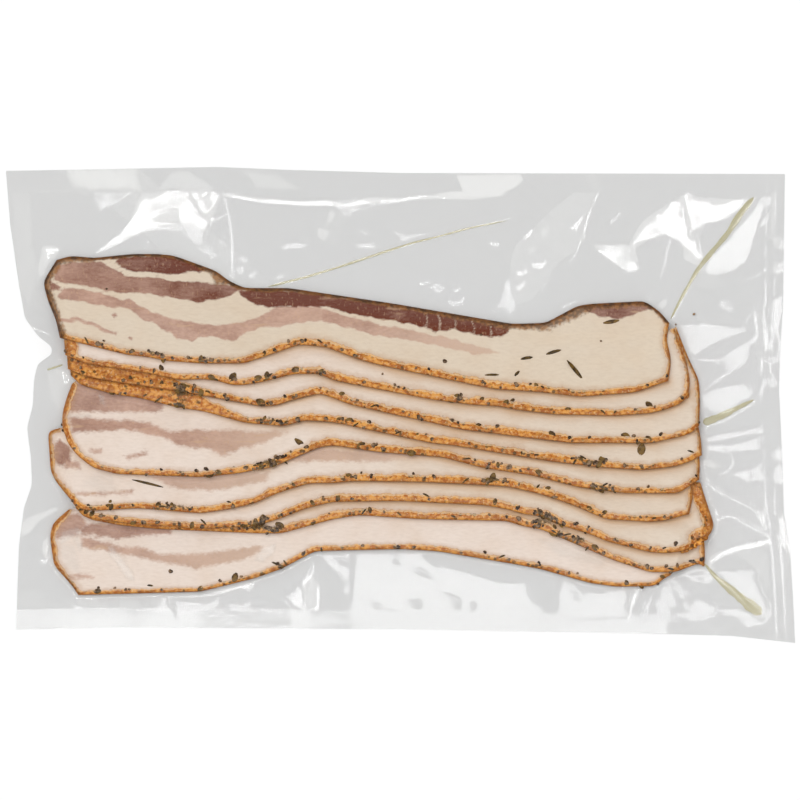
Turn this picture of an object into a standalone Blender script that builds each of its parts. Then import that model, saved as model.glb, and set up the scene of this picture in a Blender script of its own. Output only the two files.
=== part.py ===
"""Clear vacuum pouch of sliced bacon, lying flat with its sliced side up.

The sealed pouch and what it holds are one closed solid: a wide thin margin of film round a low
pile of nine overlapping rashers, whose rind edges step down from one to the next under the film.
Sizes below are in millimetres and the mesh is in metres, +Z up. The pack's back lies on z = 0,
its long side runs along X, and its origin is the middle of its back.
"""

import bmesh
import bpy
import numpy as np

COLLECTION = "bacon_pack"
NODE = "sealed_bag"
MM = 0.001

# Pouch: a nominal 300 x 180 mm bag, cut a little out of square and drawn in by the vacuum.
TOP_EDGE = [(-151.9, 90.1), (-70, 91.6), (-43, 90.5), (0, 89.3), (148.4, 88.9)]
BOTTOM_EDGE = [(-148, -86.4), (-110, -85.5), (0, -86.4), (88, -87.8), (128, -88.9), (151.9, -91.6)]
LEFT_EDGE = [
    (-148, -86.4), (-146.9, -54), (-142, -31), (-143.8, -9), (-141, 10), (-134.2, 19.6),
    (-134.2, 22.3), (-141, 28), (-146.9, 46), (-151.9, 90.1),
]
RIGHT_EDGE = [
    (151.9, -91.6), (151.1, -74), (147.6, -41.6), (145.7, 5.8), (147.3, 39), (147.6, 62),
    (148.4, 88.9),
]
POUCH_ROUNDING = 1.0
MARGIN_THICK = 0.9
SEAL_THICK = 0.5
SEAL_WIDTH = 7.5

# Rashers, the top one first: the rind edge of each from its left end to its right end.
RASHER_THICK = 1.8
RIND_EDGES = [
    [(-131, 25.7), (-105, 19.2), (-76, 15.9), (-60, 15.9), (-39, 23.2), (-29, 22.3), (-6, 14.9),
     (36, 6.1), (69, 3.1), (90, 4.7), (103, 9.2)],
    [(-129, 19.2), (-117, 15.2), (-85, 9.5), (-65, 7.6), (-41, 11.9), (-31, 11.9), (-26, 9.5),
     (11, 2.2), (60, -3.7), (96, -3.2), (107, 0.1), (111, 5.3)],
    [(-128, 13.8), (-116, 9.9), (-54, -0.5), (-47, -0.1), (-31, 4.5), (-19, 0), (24, -9.5),
     (66, -14.7), (96, -14.7), (109, -12), (115, -7.8)],
    [(-127, 11.5), (-123, 7.6), (-111, 4.2), (-60, -6.9), (-45, -8.2), (-37, -5.9), (-26, -6.6),
     (12, -14.7), (76, -23.9), (93, -25.1), (106, -23.6), (116, -19.3)],
    [(-130, -8.5), (-124, -19.7), (-109, -26.6), (-76, -27.8), (-49, -23.8), (-26, -15.5),
     (16, -20.1), (69, -31.8), (86, -34), (107, -34), (115, -28.6)],
    [(-134, -26), (-129, -34), (-123, -40.3), (-101, -39.7), (-77, -41.7), (-56, -37.8),
     (-35, -30.1), (8, -29.6), (41, -31.3), (66, -38.4), (79, -44), (96, -45), (111, -42)],
    [(-126, -37.8), (-122, -43.2), (-77, -47.7), (-56, -46.7), (-26, -37.3), (32, -38.6),
     (54, -42.8), (79, -52.4), (96, -56.7), (109, -56.3), (115, -51.7)],
    [(-125, -39.7), (-120, -44), (-108, -46.3), (-50, -49.5), (-26, -44), (-16, -42.4),
     (41, -44.7), (54, -47.8), (81, -59.4), (96, -64.4), (106, -64.4), (117, -60)],
    [(-135, -51.7), (-133, -63), (-124, -73.2), (-77, -71.9), (-46, -63.2), (-33, -56.3),
     (14, -56.3), (83, -70), (98, -69.8), (104, -65.5)],
]
TOP_RASHER_BACK = [
    (-134, 51), (-131, 57), (-118, 57), (-90, 58), (-71, 51.6), (-60, 45), (-43, 45), (43, 31.2),
    (56, 31.6), (68, 38.1), (94, 40), (103, 31.6),
]
# Width of a rasher along its length, from the wide left end over the waist to the right end.
WIDTHS = [(-135, 34), (-90, 36), (-45, 21), (0, 24), (50, 26), (95, 33), (117, 22)]

# The pile's heights are worked out on a square grid and read back where the mesh needs them.
CELL = 1.0
HALF_LENGTH = 156
HALF_WIDTH = 96
SAG = 1.5  # how far a rasher takes to bend over the edge of the one beneath it
FILM_REACH = 0.8  # how far the film bridges before it follows a step

# Mesh: columns across the pile, more of them at its two ends, and rows that follow the rinds.
LEFT_START, LEFT_COLUMNS = -122.0, 11
RIGHT_START, RIGHT_COLUMNS = 98.0, 19
MIDDLE_COLUMNS = 56
RIND_FOOT, RIND_RIDGE = 0.8, 1.2  # rows this far outside and inside each rind edge
LEAST_ROW_GAP = 0.4


def smooth_curve(points, at, reach=3.0):
    """Values of the line through points at the places given, with its corners rounded."""
    xs, ys = zip(*points)
    shifts = np.linspace(-2, 2, 9)
    weights = np.exp(-shifts * shifts)
    values = [np.interp(at + reach * shift, xs, ys) for shift in shifts]
    return np.tensordot(weights / weights.sum(), values, axes=1)


def blur(heights, reach):
    """The heights with their steps spread over about the reach, in millimetres."""
    radius = int(np.ceil(2.5 * reach / CELL))
    offsets = np.arange(-radius, radius + 1) * CELL
    kernel = np.exp(-0.5 * (offsets / reach) ** 2)
    kernel /= kernel.sum()
    for axis in (0, 1):
        padded = np.pad(heights, [(radius, radius) if a == axis else (0, 0) for a in (0, 1)])
        heights = np.apply_along_axis(np.convolve, axis, padded, kernel, "valid")
    return heights


def rasher_masks(xs, ys):
    """For each rasher, the top one first, where it lies on the grid."""
    column, row = np.meshgrid(xs, ys, indexing="ij")
    for index, rind in enumerate(RIND_EDGES):
        front = smooth_curve(rind, xs)
        back = front + smooth_curve(WIDTHS, xs)
        if index == 0:
            back = smooth_curve(TOP_RASHER_BACK, xs)
        inside = (column > rind[0][0]) & (column < rind[-1][0] + 2)
        yield inside & (row > front[:, None]) & (row < back[:, None])


def pile_heights():
    """Grid places and the height of the rashers' upper face, laid one on another from below."""
    xs = np.arange(-HALF_LENGTH, HALF_LENGTH + CELL, CELL)
    ys = np.arange(-HALF_WIDTH, HALF_WIDTH + CELL, CELL)
    heights = np.zeros((len(xs), len(ys)))
    for mask in reversed(list(rasher_masks(xs, ys))):
        bed = np.maximum(blur(heights, SAG), heights * 0.6)
        heights = np.where(mask, bed + RASHER_THICK, heights)
    return xs, ys, heights


def edge_columns(x, y):
    """Moves the columns beyond each end of the pile out to the pouch's side edges."""
    left = smooth_curve([(at, out) for out, at in LEFT_EDGE], y, POUCH_ROUNDING)
    right = smooth_curve([(at, out) for out, at in RIGHT_EDGE], y, POUCH_ROUNDING)
    low, high = x < LEFT_START, x > RIGHT_START
    outwards = np.where(low, LEFT_START - x, x - RIGHT_START)
    x = np.where(low, LEFT_START + outwards * (left - LEFT_START), x)
    return np.where(high, RIGHT_START + outwards * (right - RIGHT_START), x)


def column_places():
    """Column positions; those beyond the pile's ends count from 0 to 1 out from where they start."""
    left = LEFT_START - np.linspace(1, 0, LEFT_COLUMNS, endpoint=False)
    middle = np.linspace(LEFT_START, RIGHT_START, MIDDLE_COLUMNS)
    right = RIGHT_START + np.linspace(0, 1, RIGHT_COLUMNS + 1)[1:]
    return np.concatenate([left, middle, right])


def row_places(x):
    """Rows at each column, from the near edge to the far one, following every rind edge."""
    near = smooth_curve(BOTTOM_EDGE, x, POUCH_ROUNDING)
    far = smooth_curve(TOP_EDGE, x, POUCH_ROUNDING)
    rinds = [smooth_curve(rind, x) for rind in RIND_EDGES]
    back = smooth_curve(TOP_RASHER_BACK, x)
    rows = [near, near + SEAL_WIDTH, (near + SEAL_WIDTH + rinds[-1]) / 2]
    for index in range(len(rinds) - 1, -1, -1):
        rows += [rinds[index] - RIND_FOOT, rinds[index] + RIND_RIDGE]
        if index in (8, 4):
            rows.append((rinds[index] + rinds[index - 1]) / 2)
    rows += [rinds[0] + (back - rinds[0]) * share for share in (0.35, 0.65)]
    rows += [back - RIND_RIDGE, back + RIND_FOOT]
    rows += [back + (far - SEAL_WIDTH - back) * share for share in (0.2, 0.45, 0.7)]
    rows += [far - SEAL_WIDTH, far]
    for index in range(1, len(rows)):
        rows[index] = np.maximum(rows[index], rows[index - 1] + LEAST_ROW_GAP)
    return np.stack(rows, axis=1)


def margin_height(x, y, inset):
    """Height of the film beside the pile: thin at the sealed edges, puckered between."""
    puckers = np.sin(x / 4.6) * np.cos(y / 9.0 + 0.4) + 0.6 * np.sin(x / 9.5 + y / 5.2)
    puff = np.clip((inset - SEAL_WIDTH) / 12, 0, 1)
    return SEAL_THICK + (MARGIN_THICK - SEAL_THICK) * puff + 0.35 * puff * puckers


def film_heights(x, y, inset):
    """Height of the pack's upper face at each mesh point, in millimetres."""
    xs, ys, pile = pile_heights()
    draped = np.maximum(blur(pile, FILM_REACH), 0.0)
    column = np.clip((x - xs[0]) / CELL, 0, len(xs) - 1.001)
    row = np.clip((y - ys[0]) / CELL, 0, len(ys) - 1.001)
    i, j = column.astype(int), row.astype(int)
    u, v = column - i, row - j
    near = draped[i, j] * (1 - v) + draped[i, j + 1] * v
    far = draped[i + 1, j] * (1 - v) + draped[i + 1, j + 1] * v
    over_pile = near * (1 - u) + far * u
    return np.maximum(over_pile + SEAL_THICK, margin_height(x, y, inset))


def surface_points():
    """Upper face of the pack as a (columns, rows, 3) array in millimetres."""
    columns = column_places()
    ends = np.clip(columns, LEFT_START, RIGHT_START)
    reach = edge_columns(columns, np.zeros_like(columns))
    rows = row_places(np.where(columns == ends, columns, reach))
    x = edge_columns(np.repeat(columns[:, None], rows.shape[1], axis=1), rows)
    rows[:, 0] = smooth_curve(BOTTOM_EDGE, x[:, 0], POUCH_ROUNDING)
    rows[:, -1] = smooth_curve(TOP_EDGE, x[:, -1], POUCH_ROUNDING)
    inset = np.minimum.reduce([rows - rows[:, :1], rows[:, -1:] - rows, x - x[:1], x[-1:] - x])
    return np.stack([x, rows, film_heights(x, rows, inset)], axis=-1)


def film_material():
    material = bpy.data.materials.new("clear_vacuum_film")
    material.use_nodes = True
    shader = material.node_tree.nodes["Principled BSDF"]
    shader.inputs["Base Color"].default_value = (0.78, 0.68, 0.58, 1)
    shader.inputs["Roughness"].default_value = 0.15
    shader.inputs["Metallic"].default_value = 0
    material.diffuse_color = (0.78, 0.68, 0.58, 1)
    return material


def sealed_bag():
    """The draped upper face as a moulded grid, closed by a low wall and a flat back."""
    points = surface_points()
    columns, rows = points.shape[:2]
    bm = bmesh.new()
    bmesh.ops.create_grid(bm, x_segments=columns - 1, y_segments=rows - 1, size=0.5)
    for vertex in bm.verts:
        column = round((vertex.co.x + 0.5) * (columns - 1))
        row = round((vertex.co.y + 0.5) * (rows - 1))
        vertex.co = points[column, row] * MM
    rim = [edge for edge in bm.edges if edge.is_boundary]
    wall = bmesh.ops.extrude_edge_only(bm, edges=rim)["geom"]
    for vertex in wall:
        if isinstance(vertex, bmesh.types.BMVert):
            vertex.co.z = 0
    bmesh.ops.contextual_create(bm, geom=[edge for edge in bm.edges if edge.is_boundary])
    bmesh.ops.recalc_face_normals(bm, faces=bm.faces)
    mesh = bpy.data.meshes.new(NODE)
    bm.to_mesh(mesh)
    bm.free()
    mesh.shade_smooth()
    mesh.set_sharp_from_angle(angle=1.3)
    mesh.materials.append(film_material())
    return bpy.data.objects.new(NODE, mesh)


def main():
    for obj in list(bpy.data.objects):
        bpy.data.objects.remove(obj)
    collection = bpy.data.collections.new(COLLECTION)
    bpy.context.scene.collection.children.link(collection)
    collection.objects.link(sealed_bag())


main()
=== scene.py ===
import functools
import math
import random

import bpy
import numpy as np
from bpy.props import FloatProperty, IntProperty, PointerProperty, StringProperty
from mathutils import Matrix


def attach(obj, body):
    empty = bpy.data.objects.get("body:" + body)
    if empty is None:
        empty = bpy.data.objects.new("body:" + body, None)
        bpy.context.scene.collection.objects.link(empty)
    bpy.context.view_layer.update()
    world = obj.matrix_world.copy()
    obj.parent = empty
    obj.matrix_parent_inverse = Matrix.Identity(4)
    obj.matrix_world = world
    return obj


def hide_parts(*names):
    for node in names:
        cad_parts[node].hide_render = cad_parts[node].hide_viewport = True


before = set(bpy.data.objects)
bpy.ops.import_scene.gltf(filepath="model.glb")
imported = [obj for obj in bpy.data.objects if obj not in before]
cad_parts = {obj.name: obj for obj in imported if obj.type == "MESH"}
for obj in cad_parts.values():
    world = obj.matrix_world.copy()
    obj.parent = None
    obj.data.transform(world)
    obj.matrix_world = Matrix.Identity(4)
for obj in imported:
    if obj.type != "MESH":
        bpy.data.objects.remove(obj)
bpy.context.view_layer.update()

bl_info = {
    "name": "Bacon pack",
    "version": (1, 0, 0),
    "blender": (4, 5, 0),
    "location": "3D View > Sidebar > Bacon pack",
    "description": "Vacuum pouch of shingled rashers with its film, seasoning and juice",
    "category": "Add Mesh",
}

MM = 0.001
BODY = "root"
SOLID = "sealed_bag"

# Pouch edges, each from left to right or from bottom to top.
POUCH_TOP = [(-151.9, 90.1), (-70.6, 91.6), (-43.3, 90.5), (0, 89.3), (148, 88.9)]
POUCH_BOTTOM = [(-148, -86.4), (-109.9, -85.5), (0, -86.4), (39, -87), (88.4, -87.8),
                (127.6, -88.9), (151.9, -91.6)]
POUCH_LEFT = [(-148, -86.4), (-146.9, -54.3), (-145, -39.7), (-141.9, -30.8), (-142.3, -20),
              (-143.8, -8.9), (-141.5, 0), (-141.1, 10), (-139.6, 15.8), (-134.2, 19.6),
              (-134.2, 22.3), (-139.6, 26.6), (-144.6, 33.5), (-146.9, 46.2), (-150.3, 69.7),
              (-151.9, 90.1)]
POUCH_RIGHT = [(151.9, -91.6), (151.1, -73.9), (150, -57), (147.6, -41.6), (147.3, -29.6),
               (146.5, -10), (145.7, 5.8), (146.1, 19.6), (147.3, 39.3), (147.6, 62), (148, 88.9)]

# Rashers, the top one first. "rind" runs along the crusted edge from left to right; "left" and
# "right" run up each end from the rind to the back edge. A back edge that lies under the rasher
# above follows the rind at the usual width.
RASHERS = [
    {
        "rind": [(-131, 25.7), (-105, 19.2), (-97, 18.4), (-90, 16.9), (-76, 15.9), (-60, 15.9),
                 (-39, 23.2), (-29, 22.3), (-15, 17.2), (-6, 14.9), (36, 6.1), (54, 4.9),
                 (69, 3.1), (90, 4.7), (103, 9.2)],
        "right": [(103, 9.2), (104, 15.4), (103.8, 19.3), (102.2, 25), (103.4, 31.6)],
        "back": [(-132.4, 55.8), (-127, 57.4), (-118, 56.6), (-103, 58.1), (-93, 58.1),
                 (-87, 57.4), (-71, 51.6), (-66, 47.7), (-60, 45), (-43, 45), (-2, 38.9),
                 (43, 31.2), (56, 31.6), (68, 38.1), (73, 38.9), (94, 40), (100, 35.8),
                 (103.4, 31.6)],
        "left": [(-131, 25.7), (-132.6, 32.7), (-135.7, 40), (-137.6, 47.4), (-132.4, 55.8)],
        "lean": [
            (0.1, 0.0, [(-110.7, 55.8), (-104.9, 57), (-92.6, 57.6), (-81, 55.3), (-76.8, 54),
                        (-74, 51), (-80, 51.3), (-88.4, 50.6), (-98, 50.5), (-103.8, 51.3),
                        (-107.8, 53.7)]),
            (0.8, 0.2, [(-132.2, 53.7), (-126.5, 55.1), (-116, 55.4), (-111, 54.7),
                         (-106.2, 50.1), (-102.2, 50), (-96.4, 50), (-90, 48.5),
                         (-81.8, 47.7), (-73.5, 46.8), (-65.4, 46), (-60.6, 44.3),
                         (-63.7, 43.1), (-67, 41.2), (-73.5, 40.8), (-78.4, 39.9),
                         (-85.8, 40.7), (-95, 42), (-104.5, 43.1), (-114.3, 44.4),
                         (-122.6, 46), (-130.7, 46.8), (-133.5, 48.1)]),
            (0.85, 1.05, [(-132.2, 41.6), (-129.8, 44.4), (-122.5, 44.4), (-115.2, 43.1),
                          (-111, 41.6), (-103.8, 40.3), (-100.4, 37.4), (-94.7, 35.8),
                          (-88.2, 32.5), (-80, 31.7), (-71.1, 30.9), (-65.4, 31.3),
                          (-60.5, 32.2), (-54, 33.8), (-47.2, 37.3), (-39.1, 38.1),
                          (-32, 37.4), (-27, 35.5), (-30, 32.3), (-39.1, 32),
                          (-47, 30.3), (-54, 30.1), (-60.5, 27.7), (-62.2, 25.2),
                          (-67, 24.8), (-73.5, 26), (-80, 24.5), (-85.8, 25.6),
                          (-89.9, 28.5), (-94.7, 31.7), (-99.6, 33.3), (-102.9, 36.6),
                          (-106.2, 37.6), (-110.7, 38.1), (-118.4, 39), (-126.5, 39.9),
                          (-131.5, 40.7)]),
            (0.95, 1.2, [(-33, 37.5), (-19.4, 33.5), (2.1, 29.3), (12.5, 26.9),
                         (27.1, 23.5), (38.3, 20.4), (29.1, 19.6), (14.4, 23.1), (4, 24.8),
                         (-4, 26.6), (-14.8, 28), (-22.1, 29.8), (-30.6, 32.2)]),
            (0.95, 0.95, [(-132.5, 33.6), (-124, 33.4), (-119.2, 31.8), (-114.3, 29),
                          (-110, 27.6), (-108, 28), (-110, 26.6), (-114.3, 27.6),
                          (-119.2, 30.4), (-124, 32.1), (-132.5, 32.3)]),
            (0.0, 0.0, [(-62.2, 43.5), (-53.3, 44.7), (-34.8, 43.5), (-14.8, 40.4),
                        (10.6, 36.2), (34.5, 32.1), (42.5, 30.8), (42.5, 28.5),
                        (37.9, 25.8), (27.1, 27.7), (21, 28.9), (14.4, 28.1), (8.3, 30),
                        (2.1, 31.6), (-6.4, 33.1), (-18.7, 35), (-27.1, 37.3),
                        (-43.3, 38.1), (-50.2, 37), (-54.9, 37.8), (-61.5, 41.8)]),
            (0.35, 0.45, [(68, 38.8), (84.5, 39.5), (98.1, 39), (97.1, 37), (89.5, 34.6),
                          (83.4, 33.8), (76, 34.5), (71.6, 36.2)]),
            (0.5, 0.6, [(-135, 47.7), (-129.9, 43.9), (-134.5, 43.2)]),
            (0.8, 0.8, [(-110.6, 35.3), (-109, 35.6), (-108.7, 34), (-110.2, 33.6)]),
            (0.8, 0.8, [(-104, 26.4), (-102.6, 26), (-103.2, 24.8), (-104.2, 25.2)]),
        ],
    },
    {
        "rind": [(-129, 19.2), (-122, 16.1), (-117, 15.2), (-96, 12), (-85, 9.5), (-76, 9.9),
                 (-70, 9.2), (-65, 7.6), (-60, 7.6), (-54, 8.6), (-41, 11.9), (-31, 11.9),
                 (-26, 9.5), (11, 2.2), (27, 0.1), (38, -0.5), (44, -1.8), (60, -3.7),
                 (83, -4.2), (96, -3.2), (102, -1.8), (107, 0.1), (110, 2.2), (111, 5.3)],
        "right": [(111, 5.3), (111.5, 9.2), (109.9, 17.3), (107.6, 23.1), (105.3, 29.6)],
    },
    {
        "rind": [(-128, 13.8), (-123, 11.5), (-116, 9.9), (-81, 4.5), (-54, -0.5), (-47, -0.1),
                 (-43, 1.5), (-31, 4.5), (-19, 0), (24, -9.5), (66, -14.7), (96, -14.7),
                 (109, -12), (113, -10.1), (115, -7.8)],
        "right": [(115, -7.8), (115.3, 1.9), (114.9, 9.6), (111.5, 16.6), (108.8, 23.1),
                  (106.1, 30)],
    },
    {
        "rind": [(-127, 11.5), (-123, 7.6), (-111, 4.2), (-100, 2.6), (-85, -1.2), (-76, -2.4),
                 (-60, -6.9), (-45, -8.2), (-37, -5.9), (-26, -6.6), (12, -14.7), (20, -15.5),
                 (57, -21.6), (76, -23.9), (93, -25.1), (106, -23.6), (112, -21.6),
                 (116, -19.3)],
        "right": [(116, -19.3), (115.7, -14), (114, -4)],
    },
    {
        "rind": [(-130, -8.5), (-128, -14.7), (-124, -19.7), (-118, -24.3), (-109, -26.6),
                 (-76, -27.8), (-62, -26.3), (-49, -23.8), (-31, -16.2), (-26, -15.5),
                 (-8, -18.2), (16, -20.1), (32, -24.3), (50, -27), (69, -31.8), (86, -34),
                 (107, -34), (115, -28.6)],
        "right": [(115, -28.6), (115.3, -22), (114, -12)],
        "left": [(-130, -8.5), (-130.3, -3.9), (-128.8, 1.9), (-126.5, 8.1)],
        "lean": [
            (0.75, 0.95, [(-131, 8), (-115.7, 9), (-90, 7), (-92, -2), (-111.8, -2.7),
                    (-131, -2.7)]),
            (0.85, 1.15, [(-126.9, -4.6), (-111.8, -6.2), (-96.8, -6.5), (-88.4, -10.4),
                   (-76.4, -9.6), (-66, -10), (-43.3, -10.4), (-51.4, -14.6),
                   (-61.8, -16.2), (-68.3, -19.2), (-72.6, -17.3), (-77.2, -16.6),
                   (-86.4, -15), (-90.3, -11.9), (-98.8, -10.8), (-107.2, -9.6),
                   (-117.6, -10.4), (-126.9, -10.4)]),
            (1, 1, [(-119.2, -16.9), (-114.9, -16.9), (-114.9, -17.9), (-119.2, -17.9)]),
            (1, 1, [(-106.1, -19.6), (-97.6, -17.3), (-97.2, -18.5), (-105.3, -20.8)]),
        ],
    },
    {
        "rind": [(-129, -34), (-126, -37.4), (-123, -40.3), (-118, -40.7), (-101, -39.7),
                 (-77, -41.7), (-66, -40.1), (-56, -37.8), (-47, -33.8), (-35, -30.1),
                 (-26, -30.1), (-19, -29.3), (8, -29.6), (41, -31.3), (54, -34.3),
                 (66, -38.4), (79, -44), (96, -45), (102, -44.4), (111, -42)],
        "right": [(111, -42), (112.2, -37), (112.6, -33.5), (111, -22)],
        "left": [(-129, -34), (-132.6, -29.6), (-134.7, -25.4), (-135.7, -10), (-131, -8.9)],
        "lean": [
            (0.6, 0.6, [(-133.8, -15.4), (-131.1, -13.5), (-126.5, -16.6), (-126.5, -22.3),
                   (-131.1, -23.5), (-133.8, -21.2)]),
            (1, 1, [(-130.3, -21.6), (-123.4, -22.3), (-123.4, -25), (-128.8, -24.3)]),
            (1.05, 1.15, [(-97, -27.7), (-77.2, -26.6), (-51, -25.5), (-52, -29), (-60, -31.5),
                         (-69.5, -32.8), (-84.9, -32)]),
            (1.1, 1.15, [(-46, -20.6), (-34.8, -16.5), (-8, -17.5), (10, -20), (-4, -21.5),
                         (-21.4, -21.4), (-36, -22)]),
            (1, 1, [(-124.5, -32.9), (-113.8, -33.7), (-103, -32.3), (-103, -33.5),
                 (-113.8, -34.6), (-124.5, -33.9)]),
        ],
    },
    {
        "rind": [(-126, -37.8), (-122, -43.2), (-107, -45.4), (-77, -47.7), (-56, -46.7),
                 (-46, -43.6), (-36, -39.7), (-26, -37.3), (0, -37), (32, -38.6),
                 (41, -40.1), (47, -42), (54, -42.8), (60, -45.9), (73, -49.7), (79, -52.4),
                 (96, -56.7), (102, -57.1), (109, -56.3), (113, -54.4), (115, -51.7)],
        "right": [(115, -51.7), (118.4, -51.2), (120.9, -46.6), (118, -38), (115.5, -30)],
    },
    {
        "rind": [(-125, -39.7), (-120, -44), (-108, -46.3), (-93, -47.8), (-56, -49.4),
                 (-46, -49.5), (-26, -44), (-16, -42.4), (8, -44), (41, -44.7), (47, -46.7),
                 (54, -47.8), (81, -59.4), (96, -64.4), (106, -64.4), (115, -60.8),
                 (117, -62.1)],
        "right": [(117, -62.1), (117.2, -55.8), (116.7, -50), (114, -40)],
    },
    {
        "rind": [(-124, -73.2), (-77, -71.9), (-56, -66.7), (-46, -63.2), (-33, -56.3),
                 (0, -55.5), (14, -56.3), (44, -61.3), (54, -63.2), (73, -68.6), (83, -70),
                 (98, -69.8), (102, -66.3), (104, -65.5)],
        "right": [(104, -65.5), (107, -60), (108, -50)],
        "left": [(-124, -73.2), (-126.6, -69.3), (-129.7, -65.8), (-133.4, -61.8),
                 (-134.2, -56.2), (-135, -50.4), (-133.8, -45.4), (-127.4, -40)],
        "lean": [
            (0.8, 0.85, [(-123, -46.6), (-111.8, -45), (-86.4, -46.6), (-88.7, -49.3),
                   (-108, -50.8), (-123, -50.1)]),
            (1.0, 1.15, [(-123, -51), (-115.3, -52.7), (-107.2, -54.6), (-98.9, -54.6),
                          (-93, -57.5), (-83.5, -57.5), (-71.8, -56.9), (-61.2, -54.6),
                          (-52.9, -53.9), (-54.1, -56.2), (-62.4, -59.8), (-69.5, -61.6),
                          (-78.8, -62.4), (-88.4, -61), (-97.7, -58.7), (-107.1, -57.5),
                          (-115.3, -55.7), (-122.4, -54.6)]),
            (0.95, 0.95, [(-134, -45), (-124, -42), (-120, -47), (-125, -50), (-133, -51)]),
            (1, 1, [(-127.2, -65.5), (-122.6, -65.1), (-118.4, -65.8), (-122.6, -66.8),
                 (-127.2, -66.6)]),
        ],
    },
]
WIDTHS = [(-135, 31), (-90, 34), (-45, 21), (0, 24), (50, 26), (95, 30), (117, 22)]
# How far the rub reaches in from the left and from the right end of a rasher.
LEFT_REACH = {1: 5, 2: 6, 3: 7, 4: 2.2, 5: 1.6, 8: 1.9}
RIGHT_REACH = {6: 4.4}
# Where the crust of a rasher reaches further in than its usual width: place along X and reach.
CRUST_REACH = {
    2: [(-100, 9), (-84, 2), (-70, 0)],
    3: [(-86, 9), (-74, 3), (-60, 0)],
}
# Seams of fat through the top rasher's lean.
FAT_SEAMS = [
    [(-115, 56.5), (-113, 54.6), (-110, 53.2), (-104, 50.2), (-96, 50.2), (-88, 49)],
    [(9, 37.5), (10.5, 34), (10, 30)], [(13.5, 36.5), (15.5, 33), (15, 29)],
    [(20, 35.5), (21.5, 32.5), (21, 29)], [(26, 34), (28.5, 31), (28.5, 28)],
    [(33, 32.5), (35, 30.5), (35, 27)],
]
# Width of the dark brown rim of the top rasher along its back edge.
RIM_WIDTH = [(-138, 3.2), (-128, 2.6), (-115, 1.4), (-80, 1.1), (-75, 2.2), (-71, 4.2), (-66, 1.6),
             (-20, 1.5), (10, 2.0), (45, 2.4), (54, 3.4), (68, 4.4), (76, 2.4), (98, 2.0),
             (104, 1.6)]

# Where the seasoning gathered: centre, reach along and across, and how many grains.
GATHERED = [
    (-84, 4, 3.9, 3.5, 30), (-51, -22, 6.2, 1.9, 22), (-53, -47, 6.9, 1.5, 22),
    (73, -22, 4.6, 1.2, 11), (78, -32, 5.4, 1.5, 13), (55, -44, 4.6, 3.1, 27),
    (68, -52, 3.9, 1.9, 14), (35, -29, 5.4, 1.5, 13), (-87, -39, 6.9, 1.2, 12),
    (-52, -6, 5.8, 1.5, 11), (-75, 17, 3.5, 1.2, 6), (-93, 20, 3.5, 1.2, 6),
    (-50, 7, 3.1, 1.2, 6), (92, -16, 3.9, 1.5, 4), (61, -52, 3.1, 1.5, 7),
]

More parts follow.
